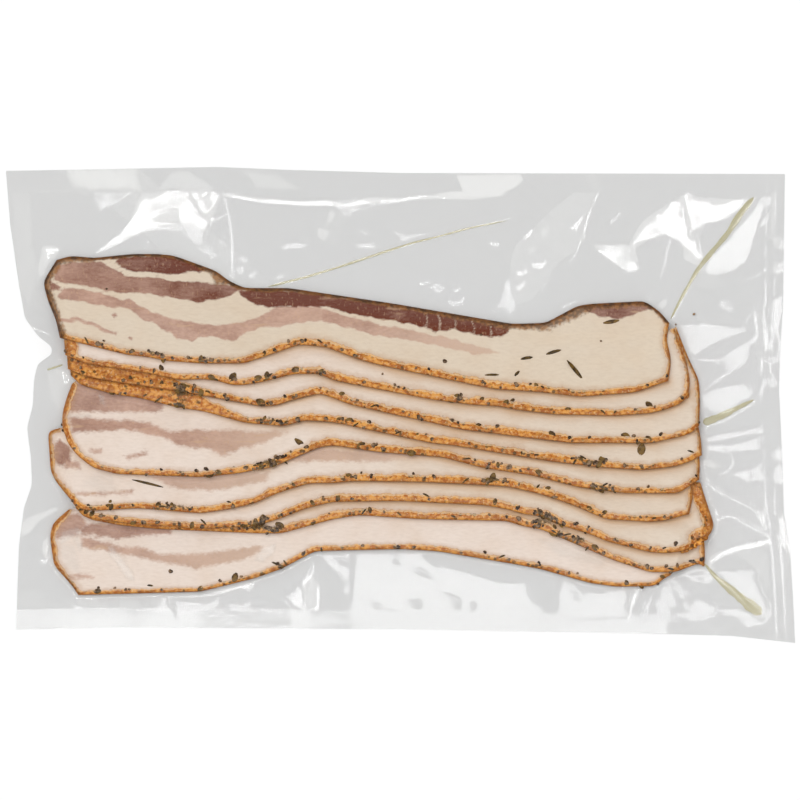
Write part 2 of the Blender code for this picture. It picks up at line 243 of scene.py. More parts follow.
# Facets of the creased film: the way each leans, 1 or -1, and its outline. The ones marked -1 take
# the lean out again where the film lies flat inside a larger facet.
FACETS = [
    (-80, 1, [(-118.8, 82.8), (-101.8, 82.8), (-104.9, 80.9), (-107.2, 79.3), (-111.1, 77),
            (-114.2, 76.2), (-115.7, 74.3), (-116.5, 76.6), (-118.4, 80.5)]),
    (5, 1, [(-69.1, 81.2), (-68, 78.9), (-66.8, 73.9), (-65.3, 65.5), (-64.9, 59.7), (-64.9, 52),
          (-62.6, 48.9), (-66.4, 50.1), (-66, 55.1), (-67.2, 60.4), (-69.1, 63.5), (-68.3, 70.5),
          (-68.7, 77)]),
    (-90, 1, [(-112.6, 59.7), (-109.9, 59.7), (-109.9, 57.8), (-112.6, 57.8)]),
    (-85, 1, [(-108, 59.7), (-104.1, 60.4), (-101.4, 58.9), (-108, 58.1)]),
    (5, 1, [(-99.1, 64.3), (-97.2, 65.5), (-96.8, 60.4), (-98.4, 60.1)]),
    (5, 1, [(-96.4, 61.6), (-94.9, 60.1), (-94.9, 58.5), (-96.1, 58.5)]),
    (5, 1, [(-127.6, 61.2), (-126.5, 60.1), (-125.7, 58.1), (-127.6, 58.1)]),
    (-25, 1, [(-139.6, 48.9), (-138.4, 53.9), (-137.3, 58.9), (-136.5, 61.2), (-133.8, 61.6),
            (-131.1, 60.4), (-131.1, 58.1), (-132.6, 59.7), (-134.9, 58.1), (-136.1, 55.1),
            (-137.6, 51.2), (-138.4, 48.1)]),
    (-50, 1, [(-116.1, 68.9), (-113.8, 71.2), (-112.6, 70.5), (-115.3, 68.1)]),
    (-90, 1, [(-62.6, 57), (-60.3, 58.5), (-59.1, 57), (-59.1, 55.1), (-61.8, 55.8)]),
    (-90, 1, [(-63.3, 53.9), (-60.6, 53.5), (-60.6, 51.2), (-62.6, 50.1)]),
    (-90, 1, [(-58.7, 51.2), (-56.4, 51.6), (-56, 49.3), (-58.3, 48.9)]),
    (-90, 1, [(-69.1, 82.8), (-63.7, 82.4), (-57.9, 80.5), (-53.3, 79.7), (-38.7, 79.3),
            (-27.1, 79.3), (-19.4, 80.5), (-11, 79.7), (-0.2, 80.1), (3.7, 81.2), (10.6, 81.6),
            (17.1, 80.9), (19.1, 79.7), (15.2, 79.7), (11.4, 80.5), (7.5, 79.7), (1.7, 78.9),
            (-1, 77.8), (-9.8, 77), (-13.7, 75.5), (-18.7, 74.3), (-19.8, 72.4), (-21.8, 73.2),
            (-23.3, 75.5), (-27.1, 77), (-38.7, 77), (-53.3, 77.8), (-61.8, 79.3), (-67.6, 81.2)]),
    (-90, -1, [(-21, 76.6), (-13.7, 78.2), (-11.7, 77), (-16.4, 76.2), (-20.6, 75.5)]),
    (-85, 1, [(-46.8, 60.4), (-44.5, 62.8), (-38.7, 63.1), (-33.3, 62), (-38.7, 60.8),
            (-44.5, 60.1)]),
    (-90, 1, [(-49.5, 46.2), (-48.7, 49.7), (-46.4, 51.6), (-44.9, 49.3), (-42.5, 49.3),
            (-48.3, 45.8)]),
    (-75, 1, [(-44.9, 47.7), (-38.7, 50.1), (-27.1, 52.7), (-27.1, 51.6), (-38.7, 48.5),
            (-44.1, 46.6)]),
    (-120, 1, [(-17.1, 68.5), (-14.8, 68.5), (-12.1, 66.2), (-13.3, 65.5)]),
    (-95, 1, [(-17.5, 62.8), (-11, 63.1), (-9.8, 60.1), (-12.5, 60.8), (-16.4, 60.8)]),
    (-80, 1, [(-2.9, 68.1), (-1.3, 67.8), (2.1, 66.2), (6.7, 67), (13.7, 66.6), (19.8, 68.5),
            (26.8, 68.9), (19.8, 67), (11.4, 65.1), (3.7, 62.8), (0.6, 62.4), (-0.2, 65.1)]),
    (-45, 1, [(11.7, 47.7), (15.2, 47), (16.4, 44.3), (14.4, 43.1), (12.1, 45.8)]),
    (-45, 1, [(20.2, 45), (21.8, 45.8), (23.3, 44.3), (21, 43.5)]),
    (-85, 1, [(18.3, 40.8), (24.1, 41.2), (23.7, 38.9), (19.8, 38.1)]),
    (-75, 1, [(6.7, 47.4), (10.6, 48.5), (12.1, 47.4), (7.5, 45.8)]),
    (-90, 1, [(33.7, 63.1), (36, 63.9), (37.9, 62), (36.4, 60.4)]),
    (0, 1, [(40.6, 48.9), (41.8, 47.4), (42.5, 42), (44.5, 37.3), (42.2, 36.2), (36, 37.3),
          (38.3, 42), (39.5, 46.6)]),
    (-45, 1, [(46.8, 66.2), (50.2, 67.8), (49.9, 65.1), (47.5, 63.9)]),
    (-30, 1, [(65.6, 68.9), (69.1, 72.8), (69.9, 71.6), (67.2, 66.6)]),
    (-90, 1, [(50.6, 55.4), (55.6, 55.4), (54.9, 52.7), (51, 53.1)]),
    (-45, 1, [(44.9, 52), (48.3, 52.4), (48.3, 50.1), (45.2, 50.1)]),
    (-45, 1, [(44.5, 46.2), (47.5, 47.7), (47.2, 45), (45.2, 44.3)]),
    (-45, 1, [(74.1, 80.9), (75.7, 82.4), (76, 80.5), (74.9, 79.7)]),
    (-45, 1, [(79.9, 69.3), (80.7, 71.6), (83.7, 74.3), (84.5, 73.2), (81.4, 70.1)]),
    (-120, 1, [(73.7, 61.2), (76.8, 62.4), (81.4, 62.8), (86.4, 62.4), (89.1, 60.8),
             (89.1, 57.8), (92.2, 52.7), (89.9, 51.2), (86.8, 51.2), (82.6, 55.1), (78.3, 57.4),
             (75.7, 59.3)]),
    (-75, 1, [(88.7, 61.2), (89.9, 64.3), (92.2, 68.1), (96.1, 71.6), (100.7, 75.1),
            (105.7, 78.9), (109.1, 81.6), (111.1, 82.4), (113.8, 79.3), (119.2, 78.5),
            (123.8, 77.8), (127.6, 78.9), (133.8, 80.5), (132.6, 77.8), (128.8, 74.3),
            (124.5, 71.2), (117.6, 69.7), (114.2, 68.1), (111.5, 68.1), (111.1, 65.1),
            (114.2, 62.8), (115.3, 56.6), (113.8, 56.6), (111.5, 60.4), (109.1, 61.2),
            (106.8, 63.5), (103.8, 65.5), (101.4, 65.8), (96.8, 64.3), (92.2, 63.5), (89.9, 62.4)]),
    (-75, -1, [(106.5, 76.2), (108.8, 75.8), (108.4, 72.4), (106.8, 73.2)]),
    (-35, 1, [(115.7, 52.4), (117.6, 55.1), (121.1, 59.7), (125.3, 63.5), (129.9, 68.9),
            (134.6, 74.3), (137.6, 78.9), (139.2, 81.6), (141.9, 79.7), (141.9, 77.4),
            (139.9, 76.6), (138.4, 72.8), (136.1, 66.6), (134.6, 61.2), (133, 56.6),
            (130.7, 53.5), (126.9, 52), (123.8, 50.8), (118.4, 51.2)]),
    (-120, 1, [(121.9, 38.9), (123.8, 41.6), (124.9, 41.6), (126.1, 38.9), (128.4, 35.8),
             (123.8, 37.3)]),
    (-35, 1, [(138, 70.1), (140.7, 73.5), (141.5, 72), (138.8, 68.5)]),
    (0, 1, [(144.6, 55.1), (147.3, 55.1), (147.3, 51.2), (145, 51.6)]),
    (0, 1, [(145.7, 63.9), (147.6, 63.9), (147.6, 60.8), (145.7, 60.8)]),
    (-5, 1, [(142.3, 40.4), (146.5, 42.4), (146.5, 36.6), (144.2, 26.9), (141.5, 30.8),
           (140.7, 36.6)]),
    (-70, 1, [(61.8, 37.7), (63.7, 39.7), (67.2, 40.8), (70.3, 39.7), (67.2, 38.5), (64.5, 37)]),
    (-65, 1, [(92.6, 40.4), (95.3, 42.4), (96.4, 40.8), (94.1, 39.7)]),
    (-85, 1, [(106.1, 31.2), (115.3, 32), (123, 31.6), (128.8, 30), (132.2, 28.5), (126.9, 26.9),
            (121.5, 24.6), (116.8, 21.9), (112.6, 19.2), (111.1, 21.2), (109.1, 25.8)]),
    (-50, 1, [(111.8, 18.5), (117.2, 18.1), (123, 18.1), (126.9, 21.2), (132.6, 23.9),
            (136.9, 27.7), (137.3, 25.8), (134.2, 23.1), (133, 20.8), (133.8, 19.6),
            (132.6, 16.6), (129.9, 14.2), (126.5, 12.7), (121.5, 9.2), (115.7, 5), (121.5, 10.8),
            (125.7, 13.9), (123.8, 16.9), (117.6, 17.3)]),
    (-70, 1, [(115.7, 3.9), (119.9, 6.5), (125.3, 8.1), (130.7, 9.2), (133.4, 7.3), (135.3, 5),
            (132.6, 1.9), (129.2, 1.2), (127.6, -1.9), (123.8, -3.5), (119.5, -1.9), (116.8, 1.2)]),
    (-20, 1, [(137.3, 3.9), (138.4, 7.7), (139.6, 10.8), (140.7, 9.6), (139.2, 4.6)]),
    (5, 1, [(141.5, 10.4), (143, 11.9), (145, 7.7), (143, 6.9)]),
    (-80, 1, [(116.5, -11.9), (121.1, -11.2), (128.8, -10), (135.3, -8.5), (138.4, -8.1),
            (139.2, -10.8), (134.6, -10.8), (126.9, -12.3), (119.9, -14.2), (117.2, -13.9)]),
    (-85, 1, [(117.2, -15.4), (120.7, -14.6), (127.6, -14.6), (133.8, -13.1), (137.6, -12.3),
            (137.6, -16.9), (132.6, -16.9), (126.1, -17.7), (117.2, -17.3)]),
    (-80, 1, [(128, -26.6), (131.5, -24.6), (134.6, -23.9), (136.9, -22.7), (139.2, -21.9),
            (139.6, -28.9), (136.9, -28.5), (133.8, -29.3), (130.7, -27.3)]),
    (-80, -1, [(133.8, -25), (135.3, -24.6), (135.3, -27.7), (134.2, -28.1)]),
    (5, 1, [(143, -25), (145.3, -22.3), (147.3, -26.9), (147.6, -30.8), (144.6, -28.9)]),
    (0, 1, [(143, -17.3), (145.3, -16.2), (147.3, -19.2), (146.1, -21.2), (143.8, -20)]),
    (5, 1, [(119.2, -39.3), (121.5, -40.4), (122.2, -44.3), (121.1, -46.2), (119.9, -42.4)]),
    (5, 1, [(135.7, -39.7), (139.2, -40.4), (141.9, -44.3), (142.3, -48.9), (141.1, -49.7),
          (139.2, -45)]),
    (-70, 1, [(119.2, -58.9), (123.8, -55.4), (130.7, -53.1), (136.5, -52.4), (141.5, -51.6),
            (138.4, -53.9), (130.7, -55.4), (124.5, -57.8), (119.9, -60.4)]),
    (5, 1, [(144.6, -42.7), (146.9, -43.5), (148.4, -50.1), (150, -58.1), (147.6, -53.9),
          (145.3, -50.1)]),
    (5, 1, [(139.2, 32.7), (141.5, 28.9), (142.3, 21.2), (144.6, 18.1), (145.3, 23.1),
          (143.8, 28.9), (145.7, 26.6), (145.7, 17.3), (142.3, 16.2), (139.6, 18.1)]),
    (-120, 1, [(119.9, -64.3), (123.8, -63.5), (136.5, -62.8), (136.9, -67.4), (138.4, -71.2),
             (139.9, -75.1), (141.5, -79.7), (140.7, -82), (136.5, -78.9), (131.5, -73.5),
             (126.9, -68.9), (122.2, -66.2)]),
    (-120, 1, [(103.8, -67.4), (106.1, -66.6), (109.1, -69.7), (113, -72.8), (115.3, -74.3),
             (118.4, -75.8), (121.5, -77.4), (121.5, -79.7), (118.4, -82), (113.8, -82.8),
             (109.1, -81.2), (106.1, -79.7), (111.5, -78.9), (109.1, -76.6), (107.6, -72.8),
             (105.3, -70.5)]),
    (5, 1, [(99.9, -69.7), (103, -68.9), (104.5, -72), (106.1, -77.4), (103.8, -76.6),
          (101.4, -73.9)]),
    (-85, 1, [(111.5, -65.5), (116.8, -64.3), (117.6, -67.4), (114.5, -67.8), (112.2, -67.4)]),
    (-110, 1, [(122.2, -78.5), (129.2, -77.8), (134.6, -79.7), (137.3, -83.5), (133.8, -84.7),
             (129.9, -81.2), (123.8, -80.1)]),
    (-5, 1, [(92.6, -76.6), (94.5, -74.7), (94.9, -81.2), (93.4, -83.9), (91.8, -81.2)]),
    (5, 1, [(98, -75.1), (99.9, -79.7), (100.7, -86.6), (98.4, -82.8), (97.2, -77.4)]),
    (-95, 1, [(59.5, -67.8), (62.2, -66.6), (66, -68.5), (69.9, -71.2), (73, -72), (78.3, -71.2),
            (83.7, -70.5), (89.9, -70.1), (87.6, -73.5), (86.8, -77.4), (87.6, -82.8),
            (80.7, -82), (76.8, -83.5), (69.1, -82.8), (63.7, -83.5), (61, -78.9), (60.3, -73.5)]),
    (-95, -1, [(64.5, -71.6), (68.3, -72.8), (69.9, -75.8), (66, -74.3)]),
    (-100, 1, [(-31.8, -56.6), (-19.4, -56.6), (-4.8, -56.6), (-0.2, -56.2), (7.5, -56.2),
             (10.6, -59.7), (15.2, -62), (21, -62.8), (26.8, -63.9), (32.5, -66.2),
             (38.3, -67.8), (46, -67.8), (49.9, -68.5), (49.1, -72), (50.6, -75.1),
             (53.7, -77.4), (54.1, -80.5), (46, -79.7), (30.6, -79.7), (17.1, -79.7),
             (-0.2, -79.3), (-18.7, -79.3), (-19.8, -75.1), (-21.8, -69.3), (-24.1, -64.3),
             (-27.9, -60.4)]),
    (-100, -1, [(-25.6, -58.1), (-22.5, -58.9), (-17.1, -61.2), (-19.4, -62.4), (-23.3, -60.8)]),
    (-100, -1, [(-4.4, -57), (-1.7, -57.4), (0.2, -60.4), (-1.3, -62), (-3.3, -60.1)]),
    (-100, -1, [(4.4, -63.5), (7.5, -62.8), (10.6, -64.7), (13.3, -66.2), (9, -66.2)]),
    (-100, -1, [(15.6, -72), (19.8, -73.2), (22.9, -75.1), (24.1, -78.9), (21.4, -79.7),
             (18.3, -76.6)]),
    (-100, -1, [(0.6, -73.2), (3.7, -75.5), (7.5, -75.1), (8.7, -77.4), (6.7, -79.3),
             (2.9, -76.6)]),
    (-100, -1, [(-11.7, -76.2), (-7.9, -76.6), (-6.7, -78.5), (-10.2, -78.9)]),
    (-100, -1, [(27.1, -76.2), (29.1, -76.6), (30.2, -79.7), (28.3, -82.8), (26.8, -79.7)]),
    (-25, 1, [(-44.9, -73.9), (-41.8, -71.2), (-38.7, -68.9), (-36.8, -66.2), (-34.8, -59.7),
            (-34.1, -62.8), (-36, -66.6), (-37.5, -70.5), (-37.5, -76.6), (-38.7, -78.9),
            (-42.2, -78.9), (-42.5, -76.2)]),
    (-90, 1, [(-86.4, -75.1), (-81, -75.1), (-75.3, -76.2), (-71.8, -75.1), (-70.3, -73.2),
            (-70.6, -76.6), (-74.1, -78.2), (-81, -78.9), (-84.9, -77.8)]),
    (-85, 1, [(-96.4, -72.4), (-81, -71.6), (-71.4, -70.8), (-61.8, -68.9), (-56.8, -67.4),
            (-56.8, -70.1), (-58.7, -71.2), (-60.3, -69.7), (-67.6, -72), (-75.3, -73.5),
            (-88.7, -73.9)]),
    (-120, 1, [(-94.5, -73.5), (-90.3, -73.5), (-89.5, -77.4), (-86.4, -79.7), (-86.4, -84.7),
             (-92.6, -82.8), (-94.1, -78.2)]),
    (-85, 1, [(-65.6, -75.8), (-61.8, -76.6), (-57.9, -75.1), (-59.5, -78.9), (-64.9, -78.5)]),
    (-10, 1, [(-138.4, -58.1), (-137.3, -53.9), (-135.7, -50.8), (-135.3, -58.1),
            (-136.5, -60.8), (-138, -60.1)]),
    (5, 1, [(-131.1, 14.6), (-129.6, 14.6), (-126.9, 9.6), (-128.8, 8.5)]),
    (-80, -1, [(-95.7, 71.6), (-92.6, 73.9), (-89.9, 75.1), (-85.7, 75.1), (-84.9, 70.5),
            (-90.7, 70.8)]),
    (-80, -1, [(-76, 80.5), (-73.3, 82.4), (-74.1, 80.9), (-75.7, 79.7)]),
    (-95, 1, [(104.5, -65.1), (110.7, -62.4), (117.6, -61.2), (119.9, -66.6), (118.4, -68.5),
            (111.5, -65.8)]),
    (-90, 1, [(-44.9, -73.9), (-41.8, -71.2), (-38.7, -68.5), (-36.8, -71.2), (-37.5, -75.1),
            (-36.4, -78.9), (-41.8, -79.3), (-42.5, -77)]),
    (-30, 1, [(-37.9, -67.4), (-34.8, -62.4), (-33.7, -60.4), (-33.7, -63.5), (-36.4, -68.5)]),
    (-5, 1, [(-32.5, -69.3), (-31.4, -69.3), (-31.4, -78.2), (-33.3, -78.2)]),
    (-90, 1, [(-99.1, 81.6), (-95.7, 81.6), (-96.4, 79.7), (-90.7, 82.8), (-81.8, 82.8),
            (-78.7, 77.4), (-76, 73.5), (-74.1, 71.2), (-74.9, 67.4), (-75.3, 62.4),
            (-72.6, 62.4), (-71.8, 59.7), (-71, 56.2), (-73.3, 56.6), (-77.2, 60.4),
            (-80.3, 63.5), (-84.1, 67.4), (-96.4, 67.4), (-102.2, 65.5), (-106.1, 63.5),
            (-111.1, 60.4), (-115.7, 57.8), (-118.8, 57.8), (-115.7, 61.2), (-111.1, 64.3),
            (-106.1, 68.9), (-103.8, 73.2), (-101.8, 77), (-99.1, 79.7)]),
    (-60, 1, [(-81.8, 82.8), (-69.5, 82.8), (-69.9, 80.9), (-72.2, 76.2), (-74.1, 73.9),
            (-76, 73.9), (-78.7, 77.8)]),
    (-90, 1, [(-74.5, 73.5), (-71.4, 72.4), (-67.6, 74.3), (-66.8, 72.8), (-71.8, 71.2),
            (-74.1, 69.7)]),
]
# Painted highlights in the film: places whose colour is painted whiter and more opaque to stand for
# reflected light. How strong, how far its border fades in millimetres, and its outline.
PAINTED_SHEEN = [
    (0.85, 1.6, [(-128.8, 90.9), (-101.8, 91.2), (-100.3, 82.8), (-118.8, 82.8), (-126.5, 82.8)]),
    (0.4, 0.8, [(-141.5, 82.8), (-118.8, 82.8), (-118.8, 79.7), (-124.2, 81.6), (-141.5, 82)]),
    (0.45, 1.0, [(-150, 82), (-142.3, 82), (-141.5, 65.5), (-139.6, 50.1), (-142.6, 36.6),
                (-146.5, 44.3)]),
    (0.7, 1.0, [(-88.7, 90.1), (-81, 89.7), (-77.2, 87.4), (-73.3, 84.3), (-71, 82.8),
                (-92.6, 82.8)]),
    (0.65, 1.2, [(-63.3, 90.5), (-47.9, 88.9), (-42.5, 85.5), (-38.7, 82.8), (-54.9, 82.8),
                (-57.9, 87.4)]),
    (1.0, 0.5, [(21.4, 88.5), (46, 88.9), (47.5, 86.6), (42.9, 82.8), (38.3, 80.9), (30.6, 80.1),
                (19.1, 79.7), (12.1, 80.9), (15.2, 81.6), (23.7, 82.4)]),
    (0.35, 1.2, [(71.4, 88.5), (78.3, 88.5), (77.6, 83.2), (72.2, 82.8)]),
    (0.5, 0.6, [(44.1, 61.6), (49.9, 66.2), (56.8, 73.9), (61.4, 77.8), (67.2, 81.6), (75.7, 82),
                (73.7, 77), (72.2, 69.3), (71, 63.5), (67.2, 58.9), (61.4, 55.1), (57.6, 50.1),
                (53.7, 44.3), (51, 40.4), (44.1, 38.1), (42.2, 44.3), (42.2, 53.9)]),
    (0.3, 0.8, [(-27.1, 75.1), (-21.4, 73.2), (-23.3, 61.6), (-30.2, 63.5)]),
    (0.35, 0.8, [(115.3, 50.8), (124.5, 50.1), (123.8, 46.2), (117.2, 44.3), (113.8, 45.8)]),
    (0.35, 0.7, [(136.5, 36.6), (140.3, 38.5), (141.5, 30.8), (139.6, 21.2), (141.5, 14.2),
                (137.3, 15.4), (136.1, 26.9)]),
    (0.3, 0.5, [(142.3, 40.4), (146.1, 41.2), (146.5, 30.8), (145, 21.2), (143.8, 18.5),
                (139.2, 17.3), (139.9, 23.1), (141.5, 26.9)]),
    (0.6, 0.5, [(142.6, 82), (145, 82), (143.8, 63.5), (142.3, 63.5)]),
    (0.7, 0.5, [(143.4, 64.3), (146.5, 64.7), (146.1, 60.8), (143.8, 60.8)]),
    (0.7, 0.5, [(143.4, 55.1), (146.1, 55.4), (145.7, 50.1), (143.4, 50.8)]),
    (0.6, 0.5, [(136.5, -39.7), (139.6, -41.2), (141.5, -46.2), (140.7, -48.9), (138.4, -45)]),
    (0.8, 0.4, [(118, -60.4), (121.1, -57), (126.1, -55.1), (132.6, -53.9), (140.3, -52),
                (142.3, -50.1), (142.6, -53.9), (136.5, -55.1), (129.9, -56.6), (123.8, -57.8),
                (119.9, -60.4)]),
    (0.3, 1.0, [(145.3, -41.2), (148.8, -41.2), (150.7, -59.7), (147.3, -77), (143.8, -59.7)]),
    (0.12, 1.2, [(117.6, -28.9), (124.9, -34.6), (137.3, -40.4), (140.7, -50.4), (132.6, -53.9),
                (121.1, -44.3), (119.9, -38.5)]),
    (0.85, 0.7, [(-146.5, -48.1), (-145, -44.3), (-139.6, -42), (-134.2, -39.7), (-130.3, -39.7),
                (-135.7, -42.7), (-139.6, -45.4), (-142.6, -49.3), (-145.7, -51.2)]),
    (0.9, 0.4, [(-137.6, -52.4), (-135.3, -50.4), (-136.1, -59.7), (-138, -56.6)]),
    (0.36, 1.2, [(-147.6, -72), (-138.8, -70.5), (-137.3, -75.1), (-131.9, -76.6),
                (-130.3, -78.5), (-147.6, -78.5)]),
    (0.51, 0.8, [(-124.2, -74.3), (-116.5, -73.9), (-112.6, -76.6), (-112.6, -78.5),
                (-124.9, -78.5)]),
    (0.51, 0.8, [(-108.4, -74.7), (-101.1, -75.1), (-98.8, -78.5), (-94.5, -78.5), (-108, -78.5)]),
    (0.36, 1.0, [(-96.4, -73.5), (-90.3, -73.9), (-86.8, -78.2), (-81, -80.1), (-94.5, -80.1)]),
    (0.5, 0.8, [(-71.8, -71.2), (-62.6, -68.5), (-56.4, -67.4), (-58.7, -70.5), (-67.6, -72)]),
    (0.35, 0.8, [(-41.8, -75.1), (-37.5, -67.4), (-33.7, -62.8), (-31.8, -65.5), (-31, -79.7),
                (-41.8, -79.7)]),
    (0.45, 0.8, [(128, -56.6), (132.6, -55.4), (140.7, -55.4), (142.3, -58.1), (142.3, -71.2),
                (138.4, -65.5), (132.6, -59.7)]),
    (0.6, 0.7, [(-112.6, -54.3), (-110.3, -55.1), (-106.5, -59.7), (-103.4, -64.3),
                (-102.6, -67.4), (-105.7, -66.6), (-108.8, -61.6), (-111.8, -57.8)]),
    (0.5, 0.8, [(-130.3, -48.9), (-124.2, -47), (-122.6, -49.3), (-128, -52), (-131.1, -53.9)]),
    (0.6, 0.8, [(-53.3, -55.1), (-48.3, -53.9), (-49.5, -57.8), (-53.3, -60.4), (-56, -59.7)]),
    (0.35, 0.8, [(-124.9, -49.3), (-121.9, -53.9), (-123.4, -56.6), (-125.7, -52)]),
    (0.4, 0.5, [(-116.5, 5), (-114.2, 3.5), (-113.4, -0.4), (-115.7, 0.8)]),
    (0.35, 0.6, [(-129.6, -3.1), (-119.5, -3.5), (-118.8, -5), (-129.6, -5.4)]),
    (0.3, 2.0, [(-118.8, -25.8), (-111.1, -25.8), (-109.9, -32.7), (-115.7, -33.9),
                (-121.1, -30.4)]),
    (0.35, 1.5, [(53.7, -52), (69.1, -54.3), (82.6, -59.7), (76.8, -61.6), (61.4, -58.1)]),
    (0.35, 1.5, [(-131.1, -53.9), (-125.3, -53.9), (-123.4, -65.5), (-127.2, -63.5),
                (-131.1, -58.1)]),
    (0.8, 0.6, [(-27.1, 74.7), (-25.2, 74.3), (-26, 70.5), (-28.7, 68.9), (-27.9, 72.8)]),
    (0.8, 0.6, [(-31.8, 68.1), (-27.1, 67.4), (-29.1, 62.8), (-31.8, 64.3)]),
    (0.8, 0.6, [(53.7, 68.1), (57.6, 69.3), (56.8, 63.5), (53.7, 64.7)]),
    (0.8, 0.6, [(48.7, 59.7), (51.4, 61.6), (52.6, 59.7), (50.2, 57.8)]),
    (0.8, 0.6, [(99.1, 38.5), (101.1, 40.8), (103, 40.4), (102.2, 37.7), (99.9, 37.3)]),
    (0.8, 0.6, [(116.5, -21.6), (119.9, -21.2), (123, -23.9), (119.9, -24.6), (116.8, -23.5)]),
    (0.8, 0.6, [(88.4, -75.1), (89.9, -72), (92.2, -71.2), (89.1, -79.7), (87.6, -83.5)]),
    (0.7, 0.6, [(-37.9, -68.9), (-35.6, -63.5), (-31, -69.3), (-31, -78.2), (-37.5, -78.5)]),
    (0.5, 0.6, [(-136.1, 13.5), (-130.3, 14.6), (-127.2, 10), (-129.9, 5), (-131.1, -2.7),
                (-134.2, 1.2), (-135.3, 6.5)]),
    (0.35, 1.5, [(-71.4, 58.9), (-66.4, 59.7), (-65.6, 51.2), (-68.7, 52)]),
    (0.18, 2.0, [(-131.1, -80.9), (-42.5, -80.9), (-42.5, -86.6), (-131.1, -86.6)]),
    (0.5, 0.6, [(114.5, 70.5), (117.2, 70.5), (115.3, 62.4), (117.6, 57.4), (114.5, 53.5),
                (111.5, 59.7), (110.7, 65.5)]),
    (0.24, 0.8, [(-84.1, -79.3), (-42.5, -79.3), (-42.5, -86.2), (-84.1, -86.2)]),
    (0.21, 0.8, [(-41.8, -79.3), (-34.1, -79.3), (-34.1, -86.2), (-41.8, -86.2)]),
    (0.8, 1.0, [(-99.5, 81.6), (-75.3, 83.5), (-68.7, 80.9), (-71.4, 73.2), (-75.3, 66.6),
                (-78.7, 68.9), (-84.9, 70.5), (-96.4, 68.1), (-106.1, 63.5), (-115.7, 58.9),
                (-117.6, 58.9), (-109.9, 64.3), (-104.1, 70.5), (-101.8, 77)]),
    (0.9, 0.3, [(-68.7, 81.6), (-57.9, 80.1), (-38.7, 78.2), (-27.1, 78.9), (-21.4, 77),
                (-12.5, 80.1), (-0.2, 79.7), (15.2, 80.9), (30.6, 80.5), (40.2, 82.4),
                (40.2, 80.5), (26.8, 78.9), (11.4, 79.3), (-0.2, 78.2), (-11.7, 77.8),
                (-19.4, 74.7), (-25.2, 76.6), (-38.7, 76.6), (-57.9, 78.5), (-67.6, 80.1)]),
    (0.8, 0.5, [(74.1, 61.6), (88, 61.6), (88.7, 63.5), (92.2, 69.7), (98.4, 74.7),
                (106.5, 79.3), (110.7, 82), (113.8, 80.1), (132.2, 78.9), (129.2, 74.7),
                (123, 71.2), (112.6, 69.3), (111.8, 66.6), (115.7, 59.3), (115.7, 53.1),
                (108.8, 56.2), (108.8, 61.6), (105.7, 64.7), (100.3, 65.5), (95.3, 63.5),
                (90.3, 60.4), (91.8, 52.7), (88, 51.6), (81.8, 54.3)]),
    (0.3, 0.6, [(138.4, 78.9), (140.3, 77), (136.5, 66.6), (133.4, 56.2), (127.2, 51.6),
                (116.1, 52.7), (123, 61.6), (132.2, 72.8)]),
    (0.8, 0.5, [(-138, 60.4), (-134.9, 61.6), (-131.1, 60.8), (-131.9, 57.8), (-134.9, 55.1),
                (-137.3, 50.1), (-138.8, 48.1), (-139.6, 52.7), (-138.4, 57.8)]),
    (0.25, 0.8, [(-136.5, 12.7), (-131.1, 13.5), (-126.5, 8.9), (-130.3, 1.9), (-131.9, -2.7),
                (-134.9, 0), (-136.5, 7.7)]),
    (0.7, 0.4, [(-134.2, 13.5), (-128, 12.7), (-126.5, 8.9), (-130.3, 11.2)]),
]
# Width of the rub on a rind, as a share of its widest, by x.
RIND_SHARE = [(-130, 0.76), (-80, 0.8), (-50, 0.9), (-25, 1.0), (60, 1.0), (80, 0.84), (115, 0.72)]

